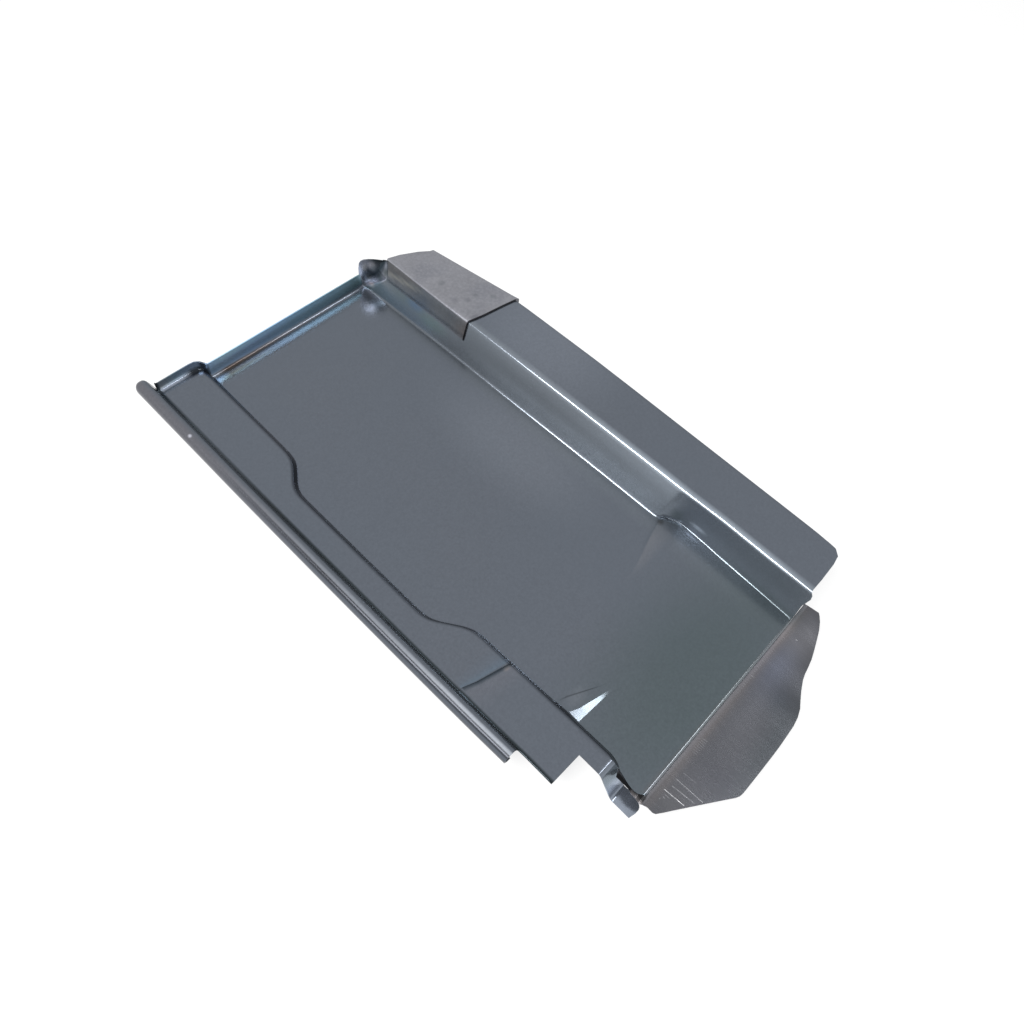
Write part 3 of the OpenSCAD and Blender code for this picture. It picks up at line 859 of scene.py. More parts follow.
CREST_PAINTED_LIGHT = [(5, 0.9), (20, 1.5), (30, 2.1), (200, 2.0), (240, 1.5), (280, 1.2)]

# Painted reflections on the lips' faces, as the red, green and blue factors along x
PAN_LIP_PAINTED_LIGHT = (
    [(8, 3.9), (40, 3.2), (80, 2.4), (135, 1.6)],
    [(8, 5.0), (40, 4.3), (135, 2.2)],
    [(8, 5.6), (40, 5.2), (80, 3.6), (135, 2.0)],
)
STRIP_LIP_PAINTED_LIGHT = (
    [(-30, 2.1), (-20, 1.8), (-10, 2.1)],
    [(-30, 2.1), (-10, 2.4)],
    [(-30, 1.95), (-10, 2.7)],
)

# Painted light and shade on the ear's faces, as (tint, where it is up the lip, where it is across the ear)
EAR_PAINTED_LIGHT = [
    ((3.6, 3.3, 3.1), [(0.1, 0), (0.7, 1)], [(0, 0.7), (3, 1), (6, 0.85), (8, 0.2), (10, 0)]),
    ((0.3, 0.33, 0.36), [(0.2, 0), (0.35, 1), (0.6, 1), (0.8, 0)], [(1, 0), (2.5, 1), (4.5, 1), (6, 0)]),
    ((0.2, 0.27, 0.3), [(0.1, 0), (0.25, 1), (0.45, 1), (0.7, 0)], [(3, 0), (5, 1), (10, 1)]),
    ((0.35, 0.38, 0.36), [(0.4, 0), (0.6, 1)], [(6.5, 0), (8, 1)]),
    ((4.0, 3.7, 3.7), [(0, 1), (0.12, 1), (0.25, 0)], [(1, 0), (2, 1), (6, 0.8), (10, 0)]),
]


# ---------------------------------------------------------------- the apron and the cap

SEAT_GAP = 0.05

# The apron's front edge, as (x, y)
APRON_FRONT = [
    (0.9, -9.6), (1.7, -11.1), (3.6, -12.4), (7, -14.7), (10, -16.6), (17, -21.2), (24, -25.8), (31, -30.4),
    (37, -34.4), (42, -37.8), (44.5, -39), (47.5, -39.4), (55, -39.4), (62, -39.35), (69, -39.3),
    (77, -39.2), (85, -39), (90, -38.7), (95, -38.4), (101, -37.9), (107, -36.8), (113, -34.8),
    (118, -31.9), (123.4, -28.8), (129.7, -25.6), (133.8, -24.3), (138, -23.5), (145, -22), (152, -19.7),
    (158.2, -17.2), (164.5, -14.5), (170, -11.5), (173.4, -9), (175.2, -7.4),
]
APRON_SHARES = [1.0, 0.86, 0.72, 0.58, 0.45, 0.33, 0.22, 0.13, 0.06, 0]
APRON_FALL = 37.8

# Soft spots of painted sheen and reflection on the apron, and a few darker patches, as (x, y from the nose,
# reach along x, reach along y, tint)
APRON_SHEEN_AND_PATCHES = [
    (60, -3.4, 70, 2.8, (1.42, 1.3, 1.2)), (140, -2.2, 30, 2.2, (1.3, 1.2, 1.12)),
    (124, -11, 20, 9, (1.35, 1.42, 1.6)), (146, -12, 11, 12, (1.5, 1.46, 1.4)),
    (160, -14, 5, 4, (1.2, 1.2, 1.2)), (14, -12, 12, 12, (1.12, 1.1, 1.06)),
    (85, -14, 22, 7, (1.2, 1.2, 1.2)), (165, -8, 12, 14, (1.25, 1.25, 1.24)),
    (85, -36, 45, 9, (0.74, 0.8, 0.8)), (108, -24, 10, 7, (0.84, 0.9, 0.94)),
    (162, 1, 7, 5, (0.6, 0.68, 0.68)), (44, -24, 14, 12, (0.86, 0.86, 0.88)),
]


def apron_painted_light(place, tucked, at_nose):
    """Painted light of the apron at one place: its spots of painted sheen and darker patches, a painted
    bright band in front of the nose, and a tucked left end painted dark as shade.
    """
    x, y, _ = place
    painted_light_and_tone = np.ones(3)
    for cx, cy, rx, ry, tone in APRON_SHEEN_AND_PATCHES:
        near = math.exp(-((x - cx) / rx) ** 2 - ((y - nose_y(x) - cy) / ry) ** 2)
        painted_light_and_tone = painted_light_and_tone * mix(np.ones(3), np.array(tone), near)
    # behind the slit the tucked left end is painted nearly black as shade; in front of it its very edge is
    # painted bright and the rest dark
    if tucked and x < 4:
        if y >= 6.9:
            end = (0.02, 0.02, 0.03)
        else:
            end = (1.7, 1.55, 1.42) if x < 0.5 else (0.12, 0.12, 0.12)
        painted_light_and_tone = painted_light_and_tone * end
    return painted_light_and_tone * 1.5 if at_nose else painted_light_and_tone


def apron_grid(sizes):
    """The soft front sheet: tucked under the pan, bent at the nose and falling gently to a chamfered edge."""
    thin = sizes.apron_sheet * MM_IN_M
    flat_z = -sizes.sheet * MM_IN_M - SEAT_GAP - thin / 2
    nose_z = -2.4 - SEAT_GAP - thin
    xs = [r[0] for r in APRON_FRONT]
    rows = []
    for v in APRON_SHARES:
        line = []
        for x in xs:
            foot, front = nose_y(x) - 1.6, along(x, APRON_FRONT)
            side = x
            if x > 173:
                side = x - (1 - v) * (x - 173) * 0.6
            if x < 1:
                side = x - 1.1 * max(0.0, 1 - v / 0.4)
            y = mix(foot, front, v)
            z = mix(nose_z, -sizes.apron_drop * MM_IN_M, clamp01((foot - y) / APRON_FALL))
            ripple = 0.55 * math.sin((x - 97) * 0.2) if x > 97 else 0
            line.append((side, y, z + (v * ripple + v * 0.12 * math.sin(x * 0.11 + 1.0))))
        rows.append(line)
    for back, share in ((-0.6, None), (0.5, 0.93), (1.6, 0.8), (2.8, 0.2), (3.6, 0), (6, 0)):
        z = nose_z + 0.02 if share is None else mix(flat_z, nose_z, share)
        places = [-0.9 if x < 1 else x if x < 173 else 173 + (x - 173) * 0.25 for x in xs]
        rows.append([(place, nose_y(x) + back, z) for x, place in zip(xs, places)])
    # the tucked rows, as (step back, x of the left end, shift of the others)
    for back, left, shift in ((8.4, -0.2, 0), (9.6, 0.2, 0), (18.4, 0.2, 1), (20.6, 4.4, 4.4)):
        rows.append([(left if x < 1 else x + shift, nose_y(x) + back, flat_z) for x in xs])
    grid = np.array(rows)
    nose = len(APRON_SHARES)
    painted_light_and_tone = [[apron_painted_light(p, k >= nose, k in (nose - 1, nose)) for p in line] for k, line in enumerate(grid)]
    cells = np.ones((len(rows) - 1, len(xs) - 1), bool)
    cells[nose + 1:, np.array(xs[:-1]) > 150] = False
    return grid, cells, np.array(painted_light_and_tone)


def apron_marks():
    """Places of the scored marks on the apron, as (middle x, y, z, length, turn, brightness)."""
    marks = [
        (16.1, -12.7, 13.6, 0.08, 1.0), (25.4, -16.5, 18.9, 0.09, 0.42), (21.1, -15.5, 15, 0.1, 0.34),
        (7, -10.5, 5.4, 0.06, 0.5), (11.9, -10.1, 4.4, 0.08, 0.3), (9.6, -9.4, 4.4, 0.08, 0.26),
        (13.6, -9.4, 3.4, 0.08, 0.22), (31, -12.5, 9, 0.1, 0.14),
    ]
    marks += [(44 + i * 1.5, nose_y(44) - 5.2, 3.6, 0.12, 0.13) for i in range(8)]
    marks += [(92 + i * 1.9, nose_y(92 + i) - 2.4, 1.8, 0.08, 0.16) for i in range(32)]
    marks += [(148.3, -7.7, 1.1, 0.3, 1.0), (107.5, -3.4, 4.5, 0.2, 0.3)]
    out = []
    for x, y, size, turn, bright in marks:
        drop = clamp01((nose_y(x) - 1.6 - y) / APRON_FALL)
        out.append((x, y, mix(-3.05, -5.2, drop) + 0.31, size, turn, bright))
    return out


def marks_nodes():
    """Node group that lays one thin scored mark at every point, with a small random turn."""
    group = bpy.data.node_groups.new("scored_marks", "GeometryNodeTree")
    kinds = {"Geometry": "Geometry", "Width": "Float", "Height": "Float", "Slope": "Float", "Stray": "Float",
             "Seed": "Int", "Material": "Material"}
    for name, kind in kinds.items():
        group.interface.new_socket(name=name, in_out="INPUT", socket_type="NodeSocket" + kind)
    group.interface.new_socket(name="Geometry", in_out="OUTPUT", socket_type="NodeSocketGeometry")
    new, link = group.nodes.new, group.links.new
    start, end = new("NodeGroupInput").outputs, new("NodeGroupOutput").inputs
    size, turn = new("GeometryNodeInputNamedAttribute"), new("GeometryNodeInputNamedAttribute")
    size.inputs["Name"].default_value, turn.inputs["Name"].default_value = "size", "turn"
    stray, low, total = new("FunctionNodeRandomValue"), new("ShaderNodeMath"), new("ShaderNodeMath")
    low.operation = "MULTIPLY"
    low.inputs[1].default_value = -1.0
    spin, scale = new("ShaderNodeCombineXYZ"), new("ShaderNodeCombineXYZ")
    bar, lay = new("GeometryNodeMeshCube"), new("GeometryNodeInstanceOnPoints")
    real, paint = new("GeometryNodeRealizeInstances"), new("GeometryNodeSetMaterial")
    for source, target in (
        (start["Stray"], low.inputs[0]),
        (low.outputs[0], stray.inputs[2]),
        (start["Stray"], stray.inputs[3]),
        (start["Seed"], stray.inputs["Seed"]),
        (turn.outputs["Attribute"], total.inputs[0]),
        (stray.outputs[1], total.inputs[1]),
        (start["Slope"], spin.inputs["X"]),
        (total.outputs[0], spin.inputs["Z"]),
        (start["Width"], scale.inputs["X"]),
        (size.outputs["Attribute"], scale.inputs["Y"]),
        (start["Height"], scale.inputs["Z"]),
        (start["Geometry"], lay.inputs["Points"]),
        (bar.outputs["Mesh"], lay.inputs["Instance"]),
        (spin.outputs[0], lay.inputs["Rotation"]),
        (scale.outputs[0], lay.inputs["Scale"]),
        (lay.outputs["Instances"], real.inputs["Geometry"]),
        (real.outputs["Geometry"], paint.inputs["Geometry"]),
        (start["Material"], paint.inputs["Material"]),
        (paint.outputs["Geometry"], end["Geometry"]),
    ):
        link(source, target)
    return group


def marks_mesh(metal):
    """The scored marks as one plain mesh."""
    marks = apron_marks()
    points = bpy.data.meshes.new("mark_points")
    points.from_pydata([drawing(*m[:3]) for m in marks], [], [])
    for name, column, divisor in (("size", 3, MM_IN_M), ("turn", 4, 1), ("bright", 5, 1)):
        layer = points.attributes.new(name, "FLOAT", "POINT")
        layer.data.foreach_set("value", [m[column] / divisor for m in marks])
    holder = bpy.data.objects.new("mark_points", points)
    bpy.context.scene.collection.objects.link(holder)
    group = marks_nodes()
    modifier = holder.modifiers.new("marks", "NODES")
    modifier.node_group = group
    values = {"Width": 0.00024, "Height": 0.00006, "Slope": 0.057, "Stray": 0.04, "Seed": 4}
    values["Material"] = metal
    for socket in group.interface.items_tree:
        if socket.item_type == "SOCKET" and socket.in_out == "INPUT" and socket.name in values:
            modifier[socket.identifier] = values[socket.name]
    bpy.context.view_layer.update()
    mesh = bpy.data.meshes.new_from_object(holder.evaluated_get(bpy.context.evaluated_depsgraph_get()))
    holder.modifiers.remove(modifier)
    bpy.data.objects.remove(holder, do_unlink=True)
    mesh.name = "apron_marks"
    return mesh


CAP_EDGE = [(290, 203.9), (295, 203.0), (375, 189.4), (380, 188.5)]
CAP_SHARES = [
    0, 0.007, 0.014, 0.03, 0.07, 0.13, 0.2, 0.28, 0.36, 0.44, 0.52, 0.6, 0.68, 0.76, 0.84, 0.9, 0.95, 0.985,
    1.0,
]
FLAP_BACK = (380.8, 380.9, 381.2, 382, 382.8, 383.8, 384.8, 386)
FLAP = len(FLAP_BACK)


def cap_grid(sizes):
    """The folded cap: a flap down the rib wall, a flat over the flange, and a narrow fold round its edge."""
    half = sizes.sheet * MM_IN_M / 2
    thin = sizes.cap_sheet * MM_IN_M
    rib = sizes.rib_height * MM_IN_M
    top_z = rib + SEAT_GAP + thin / 2
    low = 1 - sizes.flap_depth * MM_IN_M / rib

    def wall(y, u):
        x = mix(softened(y, RIB_FOOT, 4), softened(y, RIB_CREST, 6), u)
        return np.array([x, y, mix(0, rib, u) - half])

    # the flat's columns, as (y at its front, y at its back)
    flat = ((299.4, 385.4), (297.2, 379.3), (295.6, 374.3), (294.9, 373.5), (294.8, 373.2))
    total = FLAP + 1 + len(flat)
    radii, parts = [0.0] * total, [1] * total
    radii[FLAP], radii[FLAP + 4] = 1.1, 1.0
    parts[FLAP], parts[FLAP + 1] = 4, 4
    grid, painted_light_and_tone = [], []
    for v in CAP_SHARES:
        line = []
        lift = 0.45 * (1 - v / 0.1) ** 2 if v < 0.1 else 0.0
        for n in range(FLAP):
            y = mix(mix(299.5, 302, n / FLAP), FLAP_BACK[n], v)
            run = wall(y, 1) - wall(y, 0)
            out = unit(np.array([-run[2], 0, run[0]]))
            seat = (-0.25, 0.02)[n] if n < 2 else SEAT_GAP + 0.1
            line.append(wall(y, mix(low, 1, n / FLAP)) + out * (half + seat + thin / 2 + lift * 0.6))
        y = mix(302, 388.4, v)
        line.append(np.array([wall(y, 1)[0] - 0.55, y, top_z + lift]))
        for c, (front, back) in enumerate(flat):
            y = mix(front, back, v)
            crest, edge = softened(y, RIB_CREST, 6), along(y, CAP_EDGE)
            x = (mix(crest, edge, 0.3), mix(crest, edge, 0.7), edge - 3, edge, edge + 0.1)[c]
            line.append(np.array([x, y, top_z + lift if c < 4 else top_z - 3.4]))
        row, centres, tags = rounded_row(line, radii, parts, [True] * (total - 1))
        grid.append(row)
        painted_light_and_tone.append([cap_painted_light(tag, mix(low, 1, tag / FLAP), p[1], v) for tag, p in zip(tags, row)])
    cells = np.ones((len(grid) - 1, total - 1), bool)
    return np.array(grid), stretched_mask(cells, centres, len(grid[0])), np.array(painted_light_and_tone)


def cap_painted_light(tag, u, y, v):
    """Painted light and shade of the cap: the flap darkened by painted shade with a painted bluish band, a
    taupe wedge, a painted pale strip and a worn front end, and painted highlights at its folds and a painted
    shadow along its front edge.
    """
    tint = Tint()
    if tag < FLAP - 0.2:
        painted_light_level = along(u, [(0.5, 1.75), (0.57, 1.65), (0.65, 1.3), (0.75, 1.1), (0.87, 1.05), (0.95, 1.2)])
        # the flap is painted dark as shade, brighter low down, with a painted bluish reflection band and a
        # painted pale strip
        tint.times(np.array([0.36, 0.39, 0.4]))
        tint.times(painted_light_level)
        band = math.exp(-((y - 345) / 8) ** 2)
        tint.layer((0.76, 0.86, 0.98), band, along(u, [(0.52, 0.5), (0.65, 1), (0.95, 0.6)]))
        above = u - along(y, [(330, 1.03), (343, 0.98), (386, 0.78)])
        tint.layer((1.0, 0.93, 0.87), along(above, [(-0.02, 0), (0.02, 1)]), along(y, [(335, 0), (350, 1)]))
        pale = along(above, [(-0.14, 0), (-0.09, 1), (-0.05, 1), (-0.02, 0)])
        tint.layer((2.0, 1.85, 1.6), pale, along(y, [(335, 0), (362, 1)]))
        worn = along(y, [(299, 1), (306, 0.6), (314, 0)])
        tint.layer((1.2, 1.0, 0.88), worn, along(u, [(0.5, 0.3), (0.7, 1), (0.95, 0.6)]))
    # the flap's lowest edge painted brighter, hiding the shade under it
    tint.times(mix(1.0, 1.6, clamp01(1 - tag)))
    # a painted highlight along the fold over the rib's crest
    fold = along(y, [(300, 1.9), (320, 1.25), (388, 1.1)])
    tint.times(mix(1.0, fold, clamp01(1 - abs(tag - FLAP) / 0.4)))
    # a painted shadow along the cap's front edge
    if tag < FLAP + 3.2:
        tint.layer((0.06, 0.06, 0.07), along(v, [(0, 1), (0.008, 1), (0.012, 0)]))
    return tint.value


# ---------------------------------------------------------------- finishes


class Wire:
    """A node socket that takes part in sums."""

    def __init__(self, tree, socket):
        self.tree, self.socket = tree, socket

    def _sum(self, operation, other, swap=False):
        a, b = (other, self) if swap else (self, other)
        return self.tree.node("ShaderNodeMath", {"operation": operation}, {0: a, 1: b}).out("Value")

    def __add__(self, o):
        return self._sum("ADD", o)

    def __radd__(self, o):
        return self._sum("ADD", o, True)

    def __sub__(self, o):
        return self._sum("SUBTRACT", o)

    def __mul__(self, o):
        return self._sum("MULTIPLY", o)

    def __rmul__(self, o):
        return self._sum("MULTIPLY", o, True)

    def most(self, o):
        return self._sum("MAXIMUM", o)


class Made:
    """A node with its outputs by name."""

    def __init__(self, tree, made):
        self.tree, self.made = tree, made

    def out(self, name):
        return Wire(self.tree, self.made.outputs[name])


class Finish:
    """A material's node tree, built step by step."""

    def __init__(self, name):
        old = bpy.data.materials.get(name)
        if old:
            bpy.data.materials.remove(old)
        self.material = bpy.data.materials.new(name)
        self.material.use_nodes = True
        self.nodes = self.material.node_tree.nodes
        self.links = self.material.node_tree.links
        self.nodes.clear()

    def node(self, kind, settings=None, inputs=None):
        made = self.nodes.new(kind)
        for key, value in (settings or {}).items():
            setattr(made, key, value)
        for key, value in (inputs or {}).items():
            socket = made.inputs[key]
            if isinstance(value, Wire):
                self.links.new(value.socket, socket)
            else:
                socket.default_value = value
        return Made(self, made)

    def place(self):
        return self.node("ShaderNodeTexCoord").out("Object")

    def noise(self, scale, detail, rough=0.5, stretch=None):
        where = self.place()
        if stretch:
            where = self.node("ShaderNodeMapping", {}, {"Vector": where, "Scale": stretch}).out("Vector")
        inputs = {"Vector": where, "Scale": scale, "Detail": detail, "Roughness": rough}
        return self.node("ShaderNodeTexNoise", {}, inputs).out("Fac")

    def span(self, value, lo, hi):
        """A value's place between two others, from 0 to 1."""
        inputs = {"Value": value, "From Min": lo, "From Max": hi}
        return self.node("ShaderNodeMapRange", {"clamp": True}, inputs).out("Result")

    def blend(self, share, a, b):
        colours = [c if isinstance(c, Wire) else (*c, 1.0) for c in (a, b)]
        settings = {"data_type": "RGBA"}
        return self.node("ShaderNodeMix", settings, {0: share, 6: colours[0], 7: colours[1]}).out(2)

    def times(self, a, b):
        settings = {"data_type": "RGBA", "blend_type": "MULTIPLY"}
        return self.node("ShaderNodeMix", settings, {0: 1.0, 6: a, 7: b}).out(2)

    def painted_light_and_tone(self):
        """The painted light, shade and tone kept on the mesh."""
        return self.node("ShaderNodeAttribute", {"attribute_name": "painted_light_and_tone"}).out("Color")

    def near(self, centre, reach):
        """One at a place on the drawing, fading to nothing at its reach."""
        scale = tuple(MM_IN_M / r for r in reach)
        shift = tuple(-c * k for c, k in zip(drawing(*centre), scale))
        inputs = {"Vector": self.place(), "Location": shift, "Scale": scale}
        moved = self.node("ShaderNodeMapping", {}, inputs).out("Vector")
        far = self.node("ShaderNodeVectorMath", {"operation": "LENGTH"}, {0: moved}).out("Value")
        inputs = {"Value": far, "From Min": 1.0, "From Max": 0.15}
        return self.node("ShaderNodeMapRange", {"interpolation_type": "SMOOTHSTEP"}, inputs).out("Result")

    def tinted(self, colour, spots):
        """A colour with soft spots, each a (place, reach, tint), and the mesh's painted light, shade and
        tone.
        """
        for centre, reach, tone in spots:
            colour = self.times(colour, self.blend(self.near(centre, reach), (1, 1, 1), tone))
        return self.times(colour, self.painted_light_and_tone())

    def bump(self, strength, distance, height):
        inputs = {"Strength": strength, "Distance": distance, "Height": height}
        return self.node("ShaderNodeBump", {}, inputs).out("Normal")

    def sheet(self, colour, metal, rough, bump):
        return self.surface({"Base Color": colour, "Metallic": metal, "Roughness": rough, "Normal": bump})

    def surface(self, inputs):
        shader = self.node("ShaderNodeBsdfPrincipled", {}, inputs)
        self.node("ShaderNodeOutputMaterial", {}, {"Surface": shader.out("BSDF")})
        return self.material


DULL_METAL = 0.75
SOFT_ROUGHNESS = 0.27


def toned(colour, *factors):
    """A colour with its red, green and blue scaled, by one factor or by one each."""
    return tuple(c * k for c, k in zip(colour, factors if len(factors) == 3 else factors * 3))


# Soft spots of the steel, as (place, reach, tint): painted reflections, highlights and shade on the pan, the
# flange, the folds and the ear
STEEL_PAINTED_LIGHT = [
    # broad painted reflections: the pan lighter to the right and darker and greener at the front, the flange
    # lighter
    ((120, 215, 0), (46, 95, 8), (1.2, 1.19, 1.18)),
    ((80, 20, 0), (150, 80, 8), (0.74, 0.82, 0.76)),
    ((188, 255, 25), (60, 85, 10), (1.28, 1.27, 1.27)),
    # painted reflection tints on the rib's wall under the cap
    ((150, 360, 12), (14, 26, 9), (0.86, 0.94, 0.92)),
    ((152, 350, 11), (8, 14, 6), (0.84, 1.0, 1.3)),
    ((150, 330, 8), (9, 22, 8), (0.92, 1.04, 0.95)),
    # painted highlights on the pan and the wall beside the rib's jog
    ((155.1, 85, 0), (1.3, 7, 3), (1.5, 1.5, 1.55)),
    ((158.8, 84, 6.9), (1.6, 10, 3), (2.4, 2.35, 2.3)),
    # painted shade where the right dart's crease meets the rib
    ((148.5, 105.5, 0), (4, 3.5, 3), (0.55, 0.53, 0.5)),
    # a painted highlight on the strip's edge at its crease
    ((-1.5, 103, 6), (4, 2.6, 3), (1.9, 1.6, 1.4)),
    # painted shade on the rib's wall above the jog
    ((158, 101, 6), (5, 7, 7), (0.8, 0.84, 0.8)),
    # a painted glint on the hem near its back end
    ((-41.8, 352.7, 13), (1.8, 2.2, 4), (4.0, 4.0, 4.0)),
    # painted light on the back of the left dart
    ((18, 64, 1.4), (12, 7, 4), (1.25, 1.22, 1.2)),
    # painted shade and highlights on the ear and on the pan's corner beside it
    ((151.5, 385, 16), (4.5, 5, 8), (0.32, 0.35, 0.32)),
    ((147.4, 387, 13), (3, 3.5, 6), (0.6, 0.68, 0.64)),
    ((144.6, 392.5, 21), (4.5, 4.5, 6), (2.4, 2.2, 2.05)),
    ((141.4, 397, 19), (3, 3, 6), (1.45, 1.35, 1.2)),
    ((143, 395, 11), (4, 4, 5), (0.7, 0.68, 0.6)),
    ((144.1, 393, 3.9), (4, 4, 3), (1.6, 1.35, 1.2)),
]


def galvanised(finish):
    """Dull zinc-coated sheet: a faint spangle, slow drifts of tone and a fine grain, with painted light,
    shade and reflections from its spots and its mesh.
    """
    f = Finish("galvanised_sheet")
    tone = tuple(finish.steel_colour)
    drift = f.span(f.noise(7.0, 2.0), 0.3, 0.7)
    spangle = f.span(f.noise(600.0, 3.0, 0.7), 0.3, 0.7)
    colour = f.blend(spangle, toned(tone, 0.93), toned(tone, 1.1))
    colour = f.blend(drift * 0.35, colour, toned(tone, 0.95, 1.0, 1.03))
    colour = f.tinted(colour, STEEL_PAINTED_LIGHT)
    rough = finish.steel_roughness + 0.04 * (f.noise(60.0, 2.0) - 0.5) + 0.03 * (spangle - 0.5)
    return f.sheet(colour, finish.steel_metal, rough, f.bump(0.012, 0.0002, f.noise(1500.0, 1.0)))


def soft_aluminium(finish):
    """Soft, slightly dull aluminium with fine scuffs along the sheet, and the painted sheen and shade kept on
    its mesh.
    """
    f = Finish("soft_aluminium_sheet")
    tone = tuple(finish.apron_colour)
    drift = f.span(f.noise(14.0, 3.0), 0.3, 0.7)
    scuff = f.span(f.noise(90.0, 4.0, 0.6, stretch=(6.0, 1.0, 1.0)), 0.35, 0.75)
    colour = f.blend(drift, toned(tone, 0.95), toned(tone, 1.06, 1.04, 1.03))
    colour = f.tinted(f.blend(scuff * 0.035, colour, toned(tone, 1.5)), [])
    rough = SOFT_ROUGHNESS + 0.05 * (scuff - 0.5)
    return f.sheet(colour, DULL_METAL, rough, f.bump(0.035, 0.0004, f.noise(120.0, 3.0)))


def scored_metal(finish):
    """Bright metal of the scored marks, uneven along each mark."""
    f = Finish("scored_aluminium")
    bright = f.node("ShaderNodeAttribute", {"attribute_name": "bright"}).out("Fac")
    worn = f.span(f.noise(500.0, 2.0), 0.3, 0.65)
    colour = f.blend(bright * (0.45 + 0.55 * worn), toned(finish.apron_colour, 1.12), (0.78, 0.78, 0.80))
    return f.surface({"Base Color": colour, "Metallic": DULL_METAL, "Roughness": SOFT_ROUGHNESS})


# Soft round stains of the cap, as (place, reach, tint)
CAP_STAINS = [
    ((170, 343, 25), (5, 4, 6), (0.78, 0.8, 0.8)),
    ((180.5, 318, 25), (3.4, 3, 6), (0.76, 0.78, 0.78)),
    ((172.5, 318.5, 25), (4, 3.6, 6), (0.76, 0.77, 0.78)),
    ((190, 309, 25), (4, 4, 6), (0.78, 0.8, 0.8)),
    ((165, 325, 25), (4, 5, 6), (0.86, 0.86, 0.88)),
    ((164, 303, 25), (6, 3, 6), (0.74, 0.75, 0.76)),
]


def cap_zinc(finish):
    """Lighter speckled zinc of the cap, with faint stains and the painted light and shade kept on its mesh.
    """
    f = Finish("cap_zinc_sheet")
    tone = tuple(finish.cap_colour)
    drift = f.span(f.noise(60.0, 4.0), 0.35, 0.7)
    stain = f.span(f.noise(28.0, 3.0), 0.52, 0.66)
    speck = f.span(f.noise(420.0, 2.0), 0.4, 0.75)
    colour = f.blend(drift, toned(tone, 0.93), toned(tone, 1.04))
    colour = f.blend(stain * 0.5, colour, toned(tone, 0.74, 0.76, 0.8))
    colour = f.tinted(f.blend(speck * 0.45, colour, toned(tone, 1.32)), CAP_STAINS)
    rough = 0.24 + 0.06 * (drift - 0.5)
    return f.sheet(colour, DULL_METAL, rough, f.bump(0.03, 0.0003, f.noise(800.0, 2.0)))


# ---------------------------------------------------------------- settings


def length_setting(name, text, default):
    settings = {"min": 0.0001, "unit": "LENGTH", "precision": 4}
    return bpy.props.FloatProperty(name=name, description=text, default=default / MM_IN_M, **settings)


def colour_setting(name, text, default):
    settings = {"size": 3, "min": 0, "max": 1, "subtype": "COLOR"}
    return bpy.props.FloatVectorProperty(name=name, description=text, default=default, **settings)


def share_setting(name, text, default):
    settings = {"min": 0, "max": 1, "subtype": "FACTOR"}
    return bpy.props.FloatProperty(name=name, description=text, default=default, **settings)


def number_setting(name, text, default, least):
    return bpy.props.FloatProperty(name=name, description=text, default=default, min=least)


class PanelSizes(bpy.types.PropertyGroup):
    sheet: length_setting("Sheet", "Thickness of the steel sheet", 0.8)
    strip_rise: length_setting("Strip rise", "Height of the side strip above the pan", 6)
    strip_step: length_setting("Strip step", "Step in the side strip at its crease", 0.8)
    hem_rise: length_setting("Hem rise", "Height of the rolled hem above the strip", 8.2)
    tab_drop: length_setting("Tab drop", "Drop of the front tab below the pan", 12)
    rib_height: length_setting("Rib height", "Height of the rib above the pan", 25)
    lip_height: length_setting("Lip height", "Height of the back lip", 11.8)
    dart_height: length_setting("Dart height", "Height of the pressed darts", 1.8)
    apron_sheet: length_setting("Apron sheet", "Thickness of the soft front sheet", 0.6)
    apron_drop: length_setting("Apron drop", "Drop of the apron's front edge", 5.2)
    flap_depth: length_setting("Flap depth", "Depth of the cap's flap", 12)
    cap_sheet: length_setting("Cap sheet", "Thickness of the cap", 0.7)


class PanelFinish(bpy.types.PropertyGroup):
    steel_colour: colour_setting("Steel colour", "Colour of the zinc-coated sheet", (0.112, 0.126, 0.150))
    apron_colour: colour_setting("Apron colour", "Colour of the soft front sheet", (0.068, 0.071, 0.081))
    cap_colour: colour_setting("Cap colour", "Colour of the cap", (0.213, 0.217, 0.240))
    steel_roughness: share_setting("Steel roughness", "Roughness of the zinc coating", 0.2)
    steel_metal: share_setting("Steel metal", "How metallic the zinc coating is", 0.84)


class StageSettings(bpy.types.PropertyGroup):
    lamp: number_setting("Lamp", "Brightness of the overhead lights", 16.0, 0)
    fill: number_setting("Fill", "Brightness of the room for matt surfaces", 0.4, 0)
    lens: number_setting("Lens", "Focal length in millimetres on a 36 mm sensor", 28.86, 1)


# ---------------------------------------------------------------- operators


class ROOF_OT_panel_sheet(bpy.types.Operator):
    """Builds the pressed steel sheet with its pan, strip, hem, rib and flange"""

    bl_idname = "roof.panel_sheet"
    bl_label = "Steel panel"

    def execute(self, context):
        s = context.scene
        grid, cells, painted_light_and_tone = panel_grid(s.roof_sizes)
        mesh = sheet_mesh("panel_sheet", grid, cells, s.roof_sizes.sheet * MM_IN_M, painted_light_and_tone)
        new_piece("panel_sheet", mesh, galvanised(s.roof_finish), "steel_panel")
        return {"FINISHED"}


class ROOF_OT_front_apron(bpy.types.Operator):
    """Builds the soft front apron"""

    bl_idname = "roof.front_apron"
    bl_label = "Front apron"

    def execute(self, context):
        s = context.scene
        grid, cells, painted_light_and_tone = apron_grid(s.roof_sizes)
        mesh = sheet_mesh("apron_sheet", grid, cells, s.roof_sizes.apron_sheet * MM_IN_M, painted_light_and_tone)
        new_piece("apron_sheet", mesh, soft_aluminium(s.roof_finish), "front_apron")
        metal = scored_metal(s.roof_finish)
        new_piece("apron_marks", marks_mesh(metal), metal, "front_apron")
        return {"FINISHED"}


